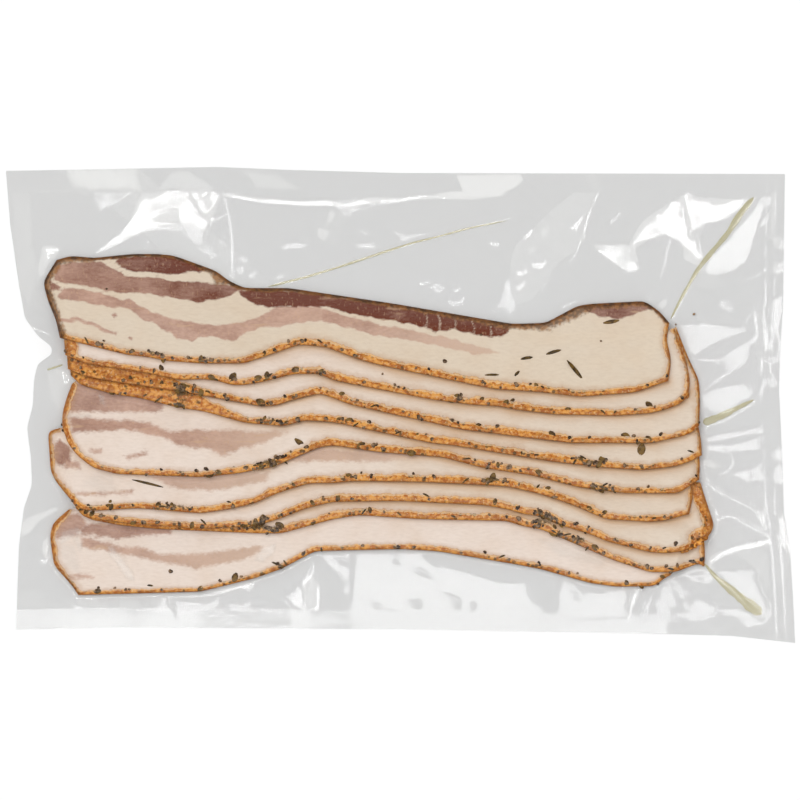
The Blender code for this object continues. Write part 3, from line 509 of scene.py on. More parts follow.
# Crease lines of the film: width, height and path.
CREASES = [
    (1.2, 0.15, [(-69.1, 82), (-66.4, 73.2), (-65.3, 61.6), (-65.3, 50.1)]),
    (1.0, 0.1, [(-119.2, 57.8), (-110.7, 64.3), (-103.8, 70.5), (-99.5, 78.2), (-98.8, 81.6)]),
    (1.0, 0.14, [(-51, 45.8), (-36, 50.1), (-24.1, 53.9), (-7.9, 58.9), (4, 62.4), (16, 65.8),
                 (26, 68.5), (41, 72)]),
    (0.8, 0.09, [(43.7, 61.6), (53.7, 70.5), (61.4, 77.8), (66.4, 81.6)]),
    (0.8, 0.09, [(53.7, 43.9), (58.7, 52), (66.4, 56.6), (69.1, 63.5), (71.4, 71.2), (73.7, 77),
                 (75.3, 81.6)]),
    (0.8, 0.08, [(70.6, 63.5), (70.3, 68.1), (72.2, 75.1)]),
    (0.9, 0.1, [(103, 63.5), (102.2, 60.4), (101.4, 55.1), (99.9, 50.1)]),
    (0.9, 0.12, [(104.1, 33.1), (108, 41.2), (111.8, 48.1), (114.9, 53.1), (119.9, 58.9),
                 (126.1, 65.8), (131.1, 73.9), (136.1, 79.7)]),
    (0.8, 0.1, [(129.6, 49.3), (132.6, 48.5), (137.3, 50.1), (139.9, 52)]),
    (0.8, 0.1, [(132.6, 32.7), (136.1, 36.2), (135.7, 32), (137.3, 27.7), (132.6, 23.9),
                (126.9, 20.4)]),
    (0.8, 0.1, [(115.3, 4.6), (121.5, 9.6), (126.1, 13.1)]),
    (0.9, 0.12, [(115.7, -8.5), (119.9, -7.3), (125.7, -5), (131.5, -1.5), (135.7, 1.2)]),
    (0.8, 0.1, [(123.8, -17.3), (126.9, -18.5), (128, -21.2), (126.5, -25), (123, -26.2)]),
    (0.9, 0.12, [(117.2, -28.9), (123.8, -33.9), (130.7, -37), (135.3, -39.3), (139.2, -43.5),
                 (141.1, -49.3)]),
    (0.9, 0.12, [(122.2, -43.9), (124.5, -42), (127.6, -42.4), (133.8, -45.8), (141.1, -49.7)]),
    (0.8, 0.1, [(119.2, -60.4), (123.8, -56.6), (131.1, -53.9), (141.5, -52)]),
    (1.0, 0.12, [(116.8, -60.1), (121.1, -65.1), (127.2, -70.1), (132.6, -75.5), (138, -80.9)]),
    (0.8, 0.1, [(137.3, -83.5), (140.3, -83.5), (142.3, -79.7), (141.9, -75.1)]),
    (0.8, 0.12, [(96.1, -73.9), (94.1, -78.9), (93.4, -83.5)]),
    (0.8, 0.1, [(98.8, -75.1), (99.1, -80.9), (101.4, -86.6)]),
    (0.8, 0.12, [(90.7, -71.2), (88.7, -75.8), (87.6, -82)]),
    (1.0, 0.12, [(-145, 31.2), (-139.6, 29.6), (-134.9, 27.7), (-131.1, 21.2)]),
    (0.8, 0.1, [(-136.5, 13.5), (-134.9, 3.9), (-131.1, -3.1)]),
    (1.0, 0.1, [(-127.6, -72), (-127.2, -75.1), (-125.3, -77.4), (-123, -77.4)]),
    (0.8, 0.1, [(18.7, 65.1), (19.8, 62.4), (22.9, 60.8), (27.1, 59.7)]),
    (0.8, 0.09, [(-10.6, 63.5), (-9.4, 65.8), (-7.5, 67.4)]),
    (0.8, 0.08, [(-47.2, 54.3), (-42.5, 56.6), (-38.7, 58.1)]),
    (1.3, 0.15, [(-52.9, -52), (-47.9, -57), (-42.9, -60.8)]),
    (1.0, 0.1, [(-111.8, -55.1), (-108, -60.1), (-103, -65.1)]),
    (0.8, 0.08, [(-31.8, 68.1), (-27.9, 74.3), (-25.6, 76.6)]),
]
# Tilt in degrees of the near seal band, along X.
BAND_TILT = [(-148, 4), (-108, 4), (-102, 2.8), (-96, 3.8), (-81, 3.7), (-75, 2.4),
             (-42.5, 2.4), (-41.4, 3.8), (-35.6, 3.8), (-33.3, 2.4), (-19.4, 2.4), (-17.9, 4.2),
             (50, 4), (53.7, 3), (60, 3.1), (62, 4.2), (100, 4), (104, 1.6), (150, 1)]
# Height of the two weld lines along the right edge, from the near to the far end.
WELD_HEIGHT = [(-92, 0.03), (-79, 0.12), (-40, 0.12), (-30, 0.04), (10, 0.04), (18, 0.14),
               (40, 0.14), (50, 0.04), (90, 0.06)]
# Creases that hold juice: path, and width at its two ends.
JUICE_RUNS = [
    ([(-51, 45.5), (-36, 49.3), (-24, 53), (-8, 58.3), (4, 62.2), (16, 65.2), (26, 68),
      (41, 71)], 1.0, 0.5),
    ([(104, 33), (108, 41), (112, 48), (115, 53), (120, 59), (126, 66), (131, 74), (136, 80)],
     0.8, 2.6),
    ([(116.5, -7), (123, -4.5), (131, -0.5), (136, 2)], 3.4, 0.9),
    ([(117, -61), (121, -66), (127, -71), (133, -76), (139, -80.5)], 0.8, 5.0),
    ([(-136, 13.5), (-130, 15.5)], 0.8, 0.5),
]

CELL = 0.5
SEAL_BAND = 7.5
SEAL_HEIGHT = 0.35
FACET_SLOPE = math.tan(math.radians(4.0))


def linear(code):
    """Linear colour with alpha from an sRGB hex code."""
    parts = [int(code[place:place + 2], 16) / 255 for place in (1, 3, 5)]
    return [c / 12.92 if c <= 0.04045 else ((c + 0.055) / 1.055) ** 2.4 for c in parts] + [1.0]


def ramp(value, start, end):
    """Smooth rise from 0 at start to 1 at end."""
    share = np.clip((value - start) / (end - start), 0, 1)
    return share * share * (3 - 2 * share)


def ripple(x, y, size, seed):
    """A smooth uneven field of about -1 to 1 whose bumps are about the size, in millimetres."""
    draw = random.Random(seed)
    total = np.zeros(np.shape(x))
    for _ in range(9):
        turn, phase = draw.uniform(0, math.tau), draw.uniform(0, math.tau)
        pitch = math.tau / (size * draw.uniform(1.4, 3.2))
        total = total + np.sin((x * math.cos(turn) + y * math.sin(turn)) * pitch + phase)
    return total / 3


def even_path(points, count, rounding=1.6):
    """The line through points, its corners rounded and its ends kept, as evenly spaced points."""
    points = np.array(points, float)
    step = 0.25
    along = np.concatenate([[0], np.cumsum(np.hypot(*np.diff(points, axis=0).T))])
    places = np.linspace(0, along[-1], max(int(along[-1] / step), 8))
    line = np.stack([np.interp(places, along, points[:, axis]) for axis in (0, 1)], axis=1)
    reach = min(int(2.5 * rounding / step), len(line) - 1)
    kernel = np.exp(-0.5 * (np.arange(-reach, reach + 1) * step / rounding) ** 2)
    kernel /= kernel.sum()
    before = 2 * line[0] - line[reach:0:-1]
    after = 2 * line[-1] - line[-2:-reach - 2:-1]
    padded = np.concatenate([before, line, after])
    line = np.stack([np.convolve(padded[:, axis], kernel, "valid") for axis in (0, 1)], axis=1)
    along = np.concatenate([[0], np.cumsum(np.hypot(*np.diff(line, axis=0).T))])
    places = np.linspace(0, along[-1], count)
    return np.stack([np.interp(places, along, line[:, axis]) for axis in (0, 1)], axis=1)


def patch(bottom, top, left, right, shares_along, shares_up):
    """Points of the patch spanned between four edges, as a (columns, rows, 2) array."""
    s = np.asarray(shares_along)[:, None, None]
    t = np.asarray(shares_up)[None, :, None]
    pick = [
        np.stack([np.interp(shares, np.linspace(0, 1, len(edge)), edge[:, axis])
                  for axis in (0, 1)], axis=1)
        for edge, shares in ((bottom, shares_along), (top, shares_along),
                             (left, shares_up), (right, shares_up))
    ]
    across = (1 - t) * pick[0][:, None] + t * pick[1][:, None]
    along = (1 - s) * pick[2][None] + s * pick[3][None]
    corners = ((1 - s) * (1 - t) * bottom[0] + s * (1 - t) * bottom[-1]
               + (1 - s) * t * top[0] + s * t * top[-1])
    return across + along - corners


def distance(x, y, line):
    """Distance from each place to the line."""
    nearest = np.full(x.shape, 1e9)
    line = np.asarray(line, float)
    for (x0, y0), (x1, y1) in zip(line[:-1], line[1:]):
        run, rise = x1 - x0, y1 - y0
        share = np.clip(((x - x0) * run + (y - y0) * rise) / max(run * run + rise * rise, 1e-9),
                        0, 1)
        gap = (x - x0 - share * run) ** 2 + (y - y0 - share * rise) ** 2
        nearest = np.minimum(nearest, gap)
    return np.sqrt(nearest)


def inside(x, y, outline):
    """Whether each place is inside the closed outline."""
    found = np.zeros(x.shape, bool)
    outline = np.asarray(outline, float)
    for (x0, y0), (x1, y1) in zip(outline, np.roll(outline, -1, axis=0)):
        if y0 != y1:
            found ^= ((y0 > y) != (y1 > y)) & (x < (x1 - x0) * (y - y0) / (y1 - y0) + x0)
    return found


def depth(x, y, outline):
    """Distance to the closed outline, positive inside it."""
    gap = distance(x, y, list(outline) + [outline[0]])
    return np.where(inside(x, y, outline), gap, -gap)


def blur(heights, reach):
    """The heights with their steps spread over about the reach, in millimetres."""
    radius = int(np.ceil(2.5 * reach / CELL))
    kernel = np.exp(-0.5 * (np.arange(-radius, radius + 1) * CELL / reach) ** 2)
    kernel /= kernel.sum()
    for axis in (0, 1):
        heights = np.apply_along_axis(
            lambda line: np.convolve(np.pad(line, radius, mode="edge"), kernel, "valid"),
            axis, heights)
    return heights


def spread(heights, slope, passes):
    """Raises each cell to its neighbours' height less the slope between them."""
    for _ in range(passes):
        for axis in (0, 1):
            for shift in (-1, 1):
                heights = np.maximum(heights, np.roll(heights, shift, axis) - slope * CELL)
    return heights


class HeightField:
    """Heights on a square grid over the pouch, read back at any place."""

    XS = np.arange(-156, 156 + CELL, CELL)
    YS = np.arange(-96, 96 + CELL, CELL)

    def __init__(self, heights):
        self.heights = heights

    def at(self, x, y):
        column = np.clip((x - self.XS[0]) / CELL, 0, len(self.XS) - 1.001)
        row = np.clip((y - self.YS[0]) / CELL, 0, len(self.YS) - 1.001)
        i, j = column.astype(int), row.astype(int)
        u, v = column - i, row - j
        low = self.heights[i, j] * (1 - v) + self.heights[i, j + 1] * v
        high = self.heights[i + 1, j] * (1 - v) + self.heights[i + 1, j + 1] * v
        return low * (1 - u) + high * u


def rasher_edges(index):
    """The four edges of a rasher, as evenly spaced points: rind, back, left end, right end."""
    rasher = RASHERS[index]
    rind = even_path(rasher["rind"], 500)
    right = even_path(rasher["right"], 80)
    places, widths = zip(*WIDTHS)
    if "back" in rasher:
        back = even_path(rasher["back"], 500)
    else:
        left_end = rasher.get("left", [rind[0], rind[0] + (-2, widths[0])])[-1]
        inner = [(x + 1.5, y + np.interp(x, places, widths)) for x, y in rind[25:-25:25]]
        back = even_path([left_end, *inner, right[-1]], 500, 4)
    left = even_path(rasher.get("left", [rind[0], back[0]]), 80)
    return rind, back, left, right


@functools.lru_cache
def laid_rashers(thick):
    """Edges and bed of every rasher, laid one on another from below, and the pile's heights with
    square and with rounded edges."""
    x, y = np.meshgrid(HeightField.XS, HeightField.YS, indexing="ij")
    pile = np.zeros(x.shape)
    rounded = np.zeros(x.shape)
    laid = [None] * len(RASHERS)
    for index in reversed(range(len(RASHERS))):
        rind, back, left, right = rasher_edges(index)
        outline = np.concatenate([rind[::6], right[::6], back[::-6], left[::-6]])
        bed = np.maximum(blur(spread(pile, 0.25, 4), 1.3), pile)
        laid[index] = ((rind, back, left, right), HeightField(bed))
        covered = inside(x, y, outline)
        pile = np.where(covered, bed + thick, pile)
        full = ramp(blur(covered.astype(float), 0.6), 0.45, 0.95)
        rounded = np.where(covered, bed + thick * (0.4 + 0.6 * full), rounded)
    return laid, pile, rounded


def grid_piece(name, columns, rows):
    """A flat grid primitive and, for each of its vertices, the column and row it is in."""
    bpy.ops.object.select_all(action="DESELECT")
    bpy.ops.mesh.primitive_grid_add(x_subdivisions=columns - 1, y_subdivisions=rows - 1, size=1)
    piece = bpy.context.object
    piece.name = piece.data.name = name
    flat = np.empty(len(piece.data.vertices) * 3)
    piece.data.vertices.foreach_get("co", flat)
    flat = flat.reshape(-1, 3)
    column = np.rint((flat[:, 0] + 0.5) * (columns - 1)).astype(int)
    row = np.rint((flat[:, 1] + 0.5) * (rows - 1)).astype(int)
    return piece, column, row


def move_points(piece, x, y, z):
    """Moves every vertex to its place, given in millimetres."""
    piece.data.vertices.foreach_set("co", (np.stack([x, y, z], axis=1) * MM).ravel())
    piece.data.update()


def store(piece, name, values):
    attribute = piece.data.attributes.new(name, "FLOAT", "POINT")
    attribute.data.foreach_set("value", np.asarray(values, np.float32))


def thicken(piece, thickness, offset):
    """Gives the piece its wall with a Solidify modifier, and applies it."""
    bpy.context.view_layer.objects.active = piece
    bpy.ops.object.modifier_add(type="SOLIDIFY")
    wall = piece.modifiers[-1]
    wall.thickness = thickness * MM
    wall.offset = offset
    bpy.ops.object.modifier_apply(modifier=wall.name)


def keep_off_floor(piece, lowest=0.08):
    """Lifts what lies under the lowest height, in millimetres, up to it."""
    places = np.empty(len(piece.data.vertices) * 3)
    piece.data.vertices.foreach_get("co", places)
    places[2::3] = np.maximum(places[2::3], lowest * MM)
    piece.data.vertices.foreach_set("co", places)
    piece.data.update()


def finish_piece(piece, slot, *materials):
    """Materials, smooth shading, body and replaced solid of a finished piece. The slot is not used.
    """
    piece.data.materials.clear()
    for material in materials:
        piece.data.materials.append(material)
    bpy.ops.object.select_all(action="DESELECT")
    piece.select_set(True)
    bpy.context.view_layer.objects.active = piece
    bpy.ops.object.shade_smooth_by_angle(angle=math.radians(60))
    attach(piece, BODY)
    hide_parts(SOLID)


def add(tree, kind, inputs=(), **settings):
    """Adds a node with its settings; inputs maps sockets to values or to other nodes' outputs."""
    node = tree.nodes.new(kind)
    for name, value in settings.items():
        setattr(node, name, value)
    for socket, value in dict(inputs).items():
        if isinstance(value, bpy.types.NodeSocket):
            tree.links.new(value, node.inputs[socket])
        else:
            node.inputs[socket].default_value = value
    return node


def new_material(name):
    """An empty node tree with its output, and the shader that feeds it."""
    material = bpy.data.materials.new(name)
    material.use_nodes = True
    tree = material.node_tree
    tree.nodes.clear()
    shader = add(tree, "ShaderNodeBsdfPrincipled")
    add(tree, "ShaderNodeOutputMaterial", {"Surface": shader.outputs[0]})
    return material, tree, shader


def film_material(settings, name, gloss):
    """Laminated polyamide and polyethylene film, blown and rolled: clear, grey where it doubles,
    glossy, with the slight waviness of a rolled sheet. Where it clings to the moist meat only its
    outer face shines."""
    material, tree, shader = new_material(name)
    place = add(tree, "ShaderNodeTexCoord").outputs["Object"]
    wave = add(tree, "ShaderNodeTexNoise", {"Vector": place, "Scale": 1 / 0.011, "Detail": 2.0})
    ripple = add(tree, "ShaderNodeTexNoise", {"Vector": place, "Scale": 1 / 0.003, "Detail": 2.0})
    height = add(tree, "ShaderNodeMath", {0: ripple.outputs[0], 1: 0.12, 2: wave.outputs[0]},
                 operation="MULTIPLY_ADD")
    bump = add(tree, "ShaderNodeBump", {"Height": height.outputs[0], "Strength": 1.0,
                                        "Distance": 0.00013})
    tree.links.new(bump.outputs[0], shader.inputs["Normal"])
    # Painted highlight: where it is stored, the film's colour is painted whiter and its opacity
    # raised.
    painted_sheen = add(tree, "ShaderNodeAttribute", attribute_name="painted_sheen").outputs["Fac"]
    tint = add(tree, "ShaderNodeMix", {0: painted_sheen, 6: linear(settings.tint), 7: linear("#FFFFFC")},
               data_type="RGBA")
    sheen_opacity = 0.12 if gloss > 0.5 else 0.32
    opacity = add(tree, "ShaderNodeMath", {0: painted_sheen, 1: sheen_opacity, 2: settings.opacity},
                  operation="MULTIPLY_ADD")
    tree.links.new(tint.outputs[2], shader.inputs["Base Color"])
    tree.links.new(opacity.outputs[0], shader.inputs["Alpha"])
    shader.inputs["Roughness"].default_value = 0.09 if gloss > 0.5 else 0.2
    shader.inputs["IOR"].default_value = 1.5
    shader.inputs["Specular IOR Level"].default_value = gloss
    return material


def bacon_material(settings):
    """Cured pork belly, sliced: pale firm fat, mauve lean with its grain along the rasher, and a
    dry rub baked orange-brown on the rind edge. It is dull, because the film lies on it."""
    material, tree, shader = new_material("sliced_cured_pork_belly")
    place = add(tree, "ShaderNodeTexCoord").outputs["Object"]

    def noise(size_mm, detail, stretch=1.0):
        where = place
        if stretch != 1.0:
            where = add(tree, "ShaderNodeMapping", {"Vector": place,
                                                    "Scale": (1 / stretch, 1, 1)}).outputs[0]
        return add(tree, "ShaderNodeTexNoise", {"Vector": where, "Scale": 1000 / size_mm,
                                                "Detail": detail}).outputs[0]

    def attribute(name):
        return add(tree, "ShaderNodeAttribute", attribute_name=name).outputs["Fac"]

    def scaled(value, factor, plus):
        return add(tree, "ShaderNodeMath", {0: value, 1: factor, 2: plus},
                   operation="MULTIPLY_ADD").outputs[0]

    def between(value, low, high):
        return add(tree, "ShaderNodeMapRange",
                   {"Value": value, "From Min": low, "From Max": high},
                   interpolation_type="SMOOTHSTEP").outputs[0]

    def blend(share, first, second, mode="MIX"):
        return add(tree, "ShaderNodeMix", {0: share, 6: first, 7: second}, data_type="RGBA",
                   blend_type=mode).outputs[2]

    # Lean: the stored depth inside each streak, its border feathered along the grain.
    feather = scaled(noise(0.9, 3.0, 1.5), 1.3, scaled(noise(4, 2.0, 2.0), 0.8, -1.0))
    lean_depth = add(tree, "ShaderNodeMath", {0: attribute("lean_depth"), 1: feather},
                     operation="ADD").outputs[0]
    lean = between(lean_depth, -0.6, 0.6)
    pallor = attribute("lean_pallor")
    tone = scaled(noise(0.9, 3.0, 2.0), 0.5, scaled(noise(7, 3.0, 1.6), 0.9,
                                                    scaled(pallor, 0.85, -0.72)))
    lean_colour = blend(tone, linear(settings.lean_dark), linear(settings.lean_pale))
    lean_colour = blend(between(pallor, 0.95, 1.25), lean_colour, linear("#DDC0A9"))
    veins = between(noise(3.2, 4.0, 5.0), 0.62, 0.72)
    lean_colour = blend(scaled(veins, 0.4, 0.0), lean_colour, linear(settings.fat_warm))
    tissue = between(noise(1.9, 2.0, 0.35), 0.6, 0.7)
    lean_colour = blend(scaled(tissue, 0.3, 0.0), lean_colour, linear(settings.fat_warm))

    # Fat: warmer in broad clouds, and warmer and darker towards the rind above it, partly the rub's
    # tint and partly painted shade under that rind.
    cloud = noise(14, 2.0)
    warmth_and_shade = scaled(cloud, 0.6, attribute("fat_warmth_and_shade"))
    fat = blend(attribute("fat_dryness"), linear(settings.fat_pale), linear(settings.fat_dry))
    fat = blend(between(warmth_and_shade, 0.15, 1.15), fat, linear(settings.fat_warm))
    grain = between(noise(0.9, 2.0, 3.0), 0.3, 0.8)
    fat = blend(scaled(grain, 0.12, 0.0), fat, linear("#B79C84"))
    meat = blend(lean, fat, lean_colour)

    # Rub on the rind: a ragged band with paler crumbs, scorched spots and ground herbs.
    ragged = scaled(noise(1.3, 3.0), 1.7, scaled(noise(5, 1.0), 2.2, -1.95))
    gap = add(tree, "ShaderNodeMath", {0: attribute("rind_gap"), 1: ragged},
              operation="ADD").outputs[0]
    stained = between(gap, settings.rind_width * 1.8, settings.rind_width * 0.9)
    meat = blend(scaled(stained, 0.4, 0.0), meat, linear("#C08F62"))
    crumbs = noise(1.3, 4.0, 1.1)
    crust = blend(between(crumbs, 0.36, 0.62), linear(settings.crust_dark),
                  linear(settings.crust_pale))
    crust = blend(scaled(between(noise(4.6, 3.0), 0.46, 0.6), 0.5, 0.0), crust,
                  linear("#9C5318"))
    crust = blend(scaled(between(noise(0.9, 2.0), 0.58, 0.68), 0.5, 0.0), crust,
                  linear("#F2CF9E"))
    herbs = add(tree, "ShaderNodeTexVoronoi", {"Vector": place, "Scale": 1000 / 1.9},
                feature="F1").outputs["Distance"]
    specks = between(herbs, 0.46, 0.3)
    patchy = between(noise(5, 2.0), 0.5, 0.6)
    speck_share = add(tree, "ShaderNodeMath", {0: specks, 1: patchy},
                      operation="MULTIPLY").outputs[0]
    crust = blend(scaled(speck_share, 0.85, 0.0), crust, linear("#553C18"))
    # A painted highlight: the cut edge of the rub catches the light as a thin pale line. Its foot
    # is painted darker, as shade where the rind meets the rasher below, and the rub is darker at
    # the rasher's ends.
    crest = add(tree, "ShaderNodeMath", {0: gap, 1: settings.rind_width * 0.86, 2: 0.3},
                operation="COMPARE").outputs[0]
    crust = blend(scaled(crest, 0.6, 0.0), crust, linear("#F3D3A4"))
    foot = between(attribute("foot_shade_and_dark_ends"), 0.8, 0.25)
    crust = blend(scaled(foot, 0.5, 0.0), crust, linear("#8A5222"))
    on_rind = between(gap, settings.rind_width * 1.08, settings.rind_width * 0.92)
    colour = blend(on_rind, meat, crust)
    rub = between(scaled(attribute("herb_rub"), 0.3, noise(1.3, 4.0)), 0.66, 0.8)
    near_rind = between(gap, settings.rind_width * 1.7, settings.rind_width)
    rub = add(tree, "ShaderNodeMath", {0: rub, 1: near_rind}, operation="MULTIPLY").outputs[0]
    colour = blend(scaled(rub, 0.85, 0.0), colour, linear("#5E4516"))

    # A dark brown edge, darkest along its outer line, where the cut face of the top rasher turns
    # down beside the film.
    rim_share = scaled(ragged, 0.45, attribute("rim_share"))
    rim_brown = blend(between(crumbs, 0.4, 0.6), linear("#6A4420"), linear("#A06C38"))
    colour = blend(scaled(between(rim_share, 1.15, 0.55), 0.9, 0.0), colour, rim_brown)
    rim = scaled(ragged, 0.35, attribute("rim_gap"))
    rim_darkest = blend(between(noise(2.2, 2.0), 0.4, 0.6), linear("#43260F"), linear("#78481E"))
    colour = blend(scaled(between(rim, 1.5, 0.6), 0.92, 0.0), colour, rim_darkest)
    tree.links.new(colour, shader.inputs["Base Color"])

    relief = add(tree, "ShaderNodeMix", {0: on_rind, 2: scaled(grain, 0.25, 0.0), 3: crumbs})
    bump = add(tree, "ShaderNodeBump", {"Height": relief.outputs[0], "Strength": 0.6,
                                        "Distance": 0.0004})
    tree.links.new(bump.outputs[0], shader.inputs["Normal"])
    shader.inputs["Roughness"].default_value = 0.5
    shader.inputs["Specular IOR Level"].default_value = 0.1
    return material


def speck_material(name, colours, scale_mm):
    """Dried plant matter, crushed: dull, each grain its own shade."""
    material, tree, shader = new_material(name)
    place = add(tree, "ShaderNodeTexCoord").outputs["Object"]
    cells = add(tree, "ShaderNodeTexNoise", {"Vector": place, "Scale": 1000 / scale_mm,
                                             "Detail": 3.0}).outputs[0]
    share = add(tree, "ShaderNodeMapRange", {"Value": cells, "From Min": 0.38, "From Max": 0.62},
                interpolation_type="SMOOTHSTEP").outputs[0]
    mixed = add(tree, "ShaderNodeMix", {0: share, 6: linear(colours[0]), 7: linear(colours[1])},
                data_type="RGBA").outputs[2]
    tree.links.new(mixed, shader.inputs["Base Color"])
    shader.inputs["Roughness"].default_value = 0.7
    shader.inputs["Specular IOR Level"].default_value = 0.1
    return material


def juice_material(settings):
    """Cured-meat juice, thin between two films: pale yellow, clear and still."""
    material, tree, shader = new_material("cured_meat_juice")
    place = add(tree, "ShaderNodeTexCoord").outputs["Object"]
    cloud = add(tree, "ShaderNodeTexNoise", {"Vector": place, "Scale": 1 / 0.004}).outputs[0]
    mixed = add(tree, "ShaderNodeMix", {0: cloud, 6: linear("#D6CCA0"), 7: linear(settings.tint)},
                data_type="RGBA").outputs[2]
    tree.links.new(mixed, shader.inputs["Base Color"])
    shader.inputs["Alpha"].default_value = settings.opacity
    shader.inputs["Roughness"].default_value = 0.3
    shader.inputs["Specular IOR Level"].default_value = 0.1
    return material


def floor_material():
    """Matt white laminate, sprayed: even, with a barely uneven tone."""
    material, tree, shader = new_material("sprayed_white_laminate")
    place = add(tree, "ShaderNodeTexCoord").outputs["Object"]
    cloud = add(tree, "ShaderNodeTexNoise", {"Vector": place, "Scale": 4.0}).outputs[0]
    mixed = add(tree, "ShaderNodeMix", {0: cloud, 6: linear("#FAFAFA"), 7: linear("#FDFDFD")},
                data_type="RGBA").outputs[2]
    tree.links.new(mixed, shader.inputs["Base Color"])
    shader.inputs["Roughness"].default_value = 0.9
    shader.inputs["Specular IOR Level"].default_value = 0.0
    return material


def within_box(x, y, outline, reach):
    """Whether each place is in the outline's bounding box, widened by the reach."""
    low, high = np.min(outline, axis=0) - reach, np.max(outline, axis=0) + reach
    return (x > low[0]) & (x < high[0]) & (y > low[1]) & (y < high[1])


def climb(x, y, azimuth, outline):
    """How far each place is, going up a slope that falls towards the azimuth, from the outline's
    lower edge."""
    turn = math.radians(azimuth)
    up = np.array([-math.cos(turn), -math.sin(turn)])
    side = np.array([-up[1], up[0]])
    low_up, high_up = (outline @ up).min() - 1.5, (outline @ up).max() + 1.5
    low_side, high_side = (outline @ side).min() - 3, (outline @ side).max() + 3
    steps = np.arange(low_up, high_up, CELL)
    lanes = np.arange(low_side, high_side, CELL)
    along, across = np.meshgrid(steps, lanes, indexing="ij")
    covered = depth(along * up[0] + across * side[0], along * up[1] + across * side[1],
                    outline) > -0.4
    run = np.zeros(along.shape)
    for step in range(1, len(steps)):
        run[step] = np.where(covered[step], run[step - 1] + CELL, 0)
    kernel = np.exp(-0.5 * (np.arange(-5, 6) * CELL / 1.0) ** 2)
    total, weight = (np.apply_along_axis(lambda line: np.convolve(line, kernel, "same"), 1, field)
                     if len(lanes) > 11 else field for field in (run * covered, covered * 1.0))
    run = total / np.maximum(weight, 1e-6)
    i = np.clip((x * up[0] + y * up[1] - steps[0]) / CELL, 0, len(steps) - 1.001)
    j = np.clip((x * side[0] + y * side[1] - lanes[0]) / CELL, 0, len(lanes) - 1.001)
    u, v = i - i.astype(int), j - j.astype(int)
    i, j = i.astype(int), j.astype(int)
    return ((run[i, j] * (1 - u) + run[i + 1, j] * u) * (1 - v)
            + (run[i, j + 1] * (1 - u) + run[i + 1, j + 1] * u) * v)


def film_painted_sheen(x, y):
    """How strongly a painted highlight whitens the film at each place."""
    painted_sheen = np.zeros(x.shape)
    for level, softness, outline in PAINTED_SHEEN:
        near = within_box(x, y, outline, 2.5 * softness + 1)
        frayed = 0.25 * softness * ripple(x[near], y[near], 3.0, 21)
        share = ramp(depth(x[near], y[near], outline) + frayed, -softness, softness)
        painted_sheen[near] = np.maximum(painted_sheen[near], level * share)
    return painted_sheen


def film_heights(x, y, gaps, thick):
    """Height of the front film, in millimetres: draped on the pile, creased, flat at the seals.
    The gaps are the distances to the near, far, left and right edges of the pouch."""
    _, pile, _ = laid_rashers(thick)
    wrapped = np.where(pile > 0, pile + 0.5, 0)
    draped = blur(spread(wrapped, 1.5, 9), 0.5)
    film = HeightField(np.maximum(draped, wrapped - 0.15)).at(x, y)
    inset = np.min(gaps, axis=0)
    puff = ramp(inset, SEAL_BAND - 1, SEAL_BAND + 5)
    margin = SEAL_HEIGHT + 0.03 * puff
    margin += 0.03 * puff * (np.sin(x / 5.3 + np.sin(y / 9)) * np.cos(y / 7.7 + 0.4 + x / 31))
    # The near seal band slopes down to the edge.
    slope = np.tan(np.radians(0.72 * np.interp(x, *zip(*BAND_TILT))))
    beyond = np.maximum(gaps[0] - SEAL_BAND, 0)
    margin += slope * np.minimum(gaps[0], SEAL_BAND) * np.exp(-beyond / 60)
    height = np.maximum(film, margin)
    rise = np.zeros(x.shape)
    for azimuth, sign, outline in FACETS:
        outline = np.array(outline, float)
        near = within_box(x, y, outline, 2)
        fray = min(0.4, 0.03 * np.ptp(outline, axis=0).min())
        frayed = fray * (ripple(x[near], y[near], 2.5, 3) + 0.6 * ripple(x[near], y[near], 1.2, 4))
        share = ramp(depth(x[near], y[near], outline) + frayed, -0.3, 0.3)
        rise[near] += sign * FACET_SLOPE * share * climb(x[near], y[near], azimuth, outline)
    height += np.maximum(rise, 0)
    for width, crest, path in CREASES:
        line = even_path(path, 40)
        low, high = line.min(axis=0) - 4, line.max(axis=0) + 4
        near = (x > low[0]) & (x < high[0]) & (y > low[1]) & (y < high[1])
        gap = distance(x[near], y[near], line)
        height[near] += 0.7 * crest * np.exp(-(gap / (0.6 * width)) ** 2)
    weld = np.exp(-((gaps[3] - SEAL_BAND) / 0.5) ** 2) + 0.8 * np.exp(-((gaps[3] - 4) / 0.5) ** 2)
    return height + 0.7 * np.interp(y, *zip(*WELD_HEIGHT)) * weld


class PouchSettings(bpy.types.PropertyGroup):
    opacity: FloatProperty(name="Opacity", description="Opacity of one film", default=0.12,
                           min=0, max=1, subtype="FACTOR")
    tint: StringProperty(name="Tint", description="Colour of the film, as sRGB hex",
                         default="#585852")
    columns: IntProperty(name="Columns", description="Grid columns of the front film",
                         default=601, min=10)
    rows: IntProperty(name="Rows", description="Grid rows of the front film", default=361, min=10)


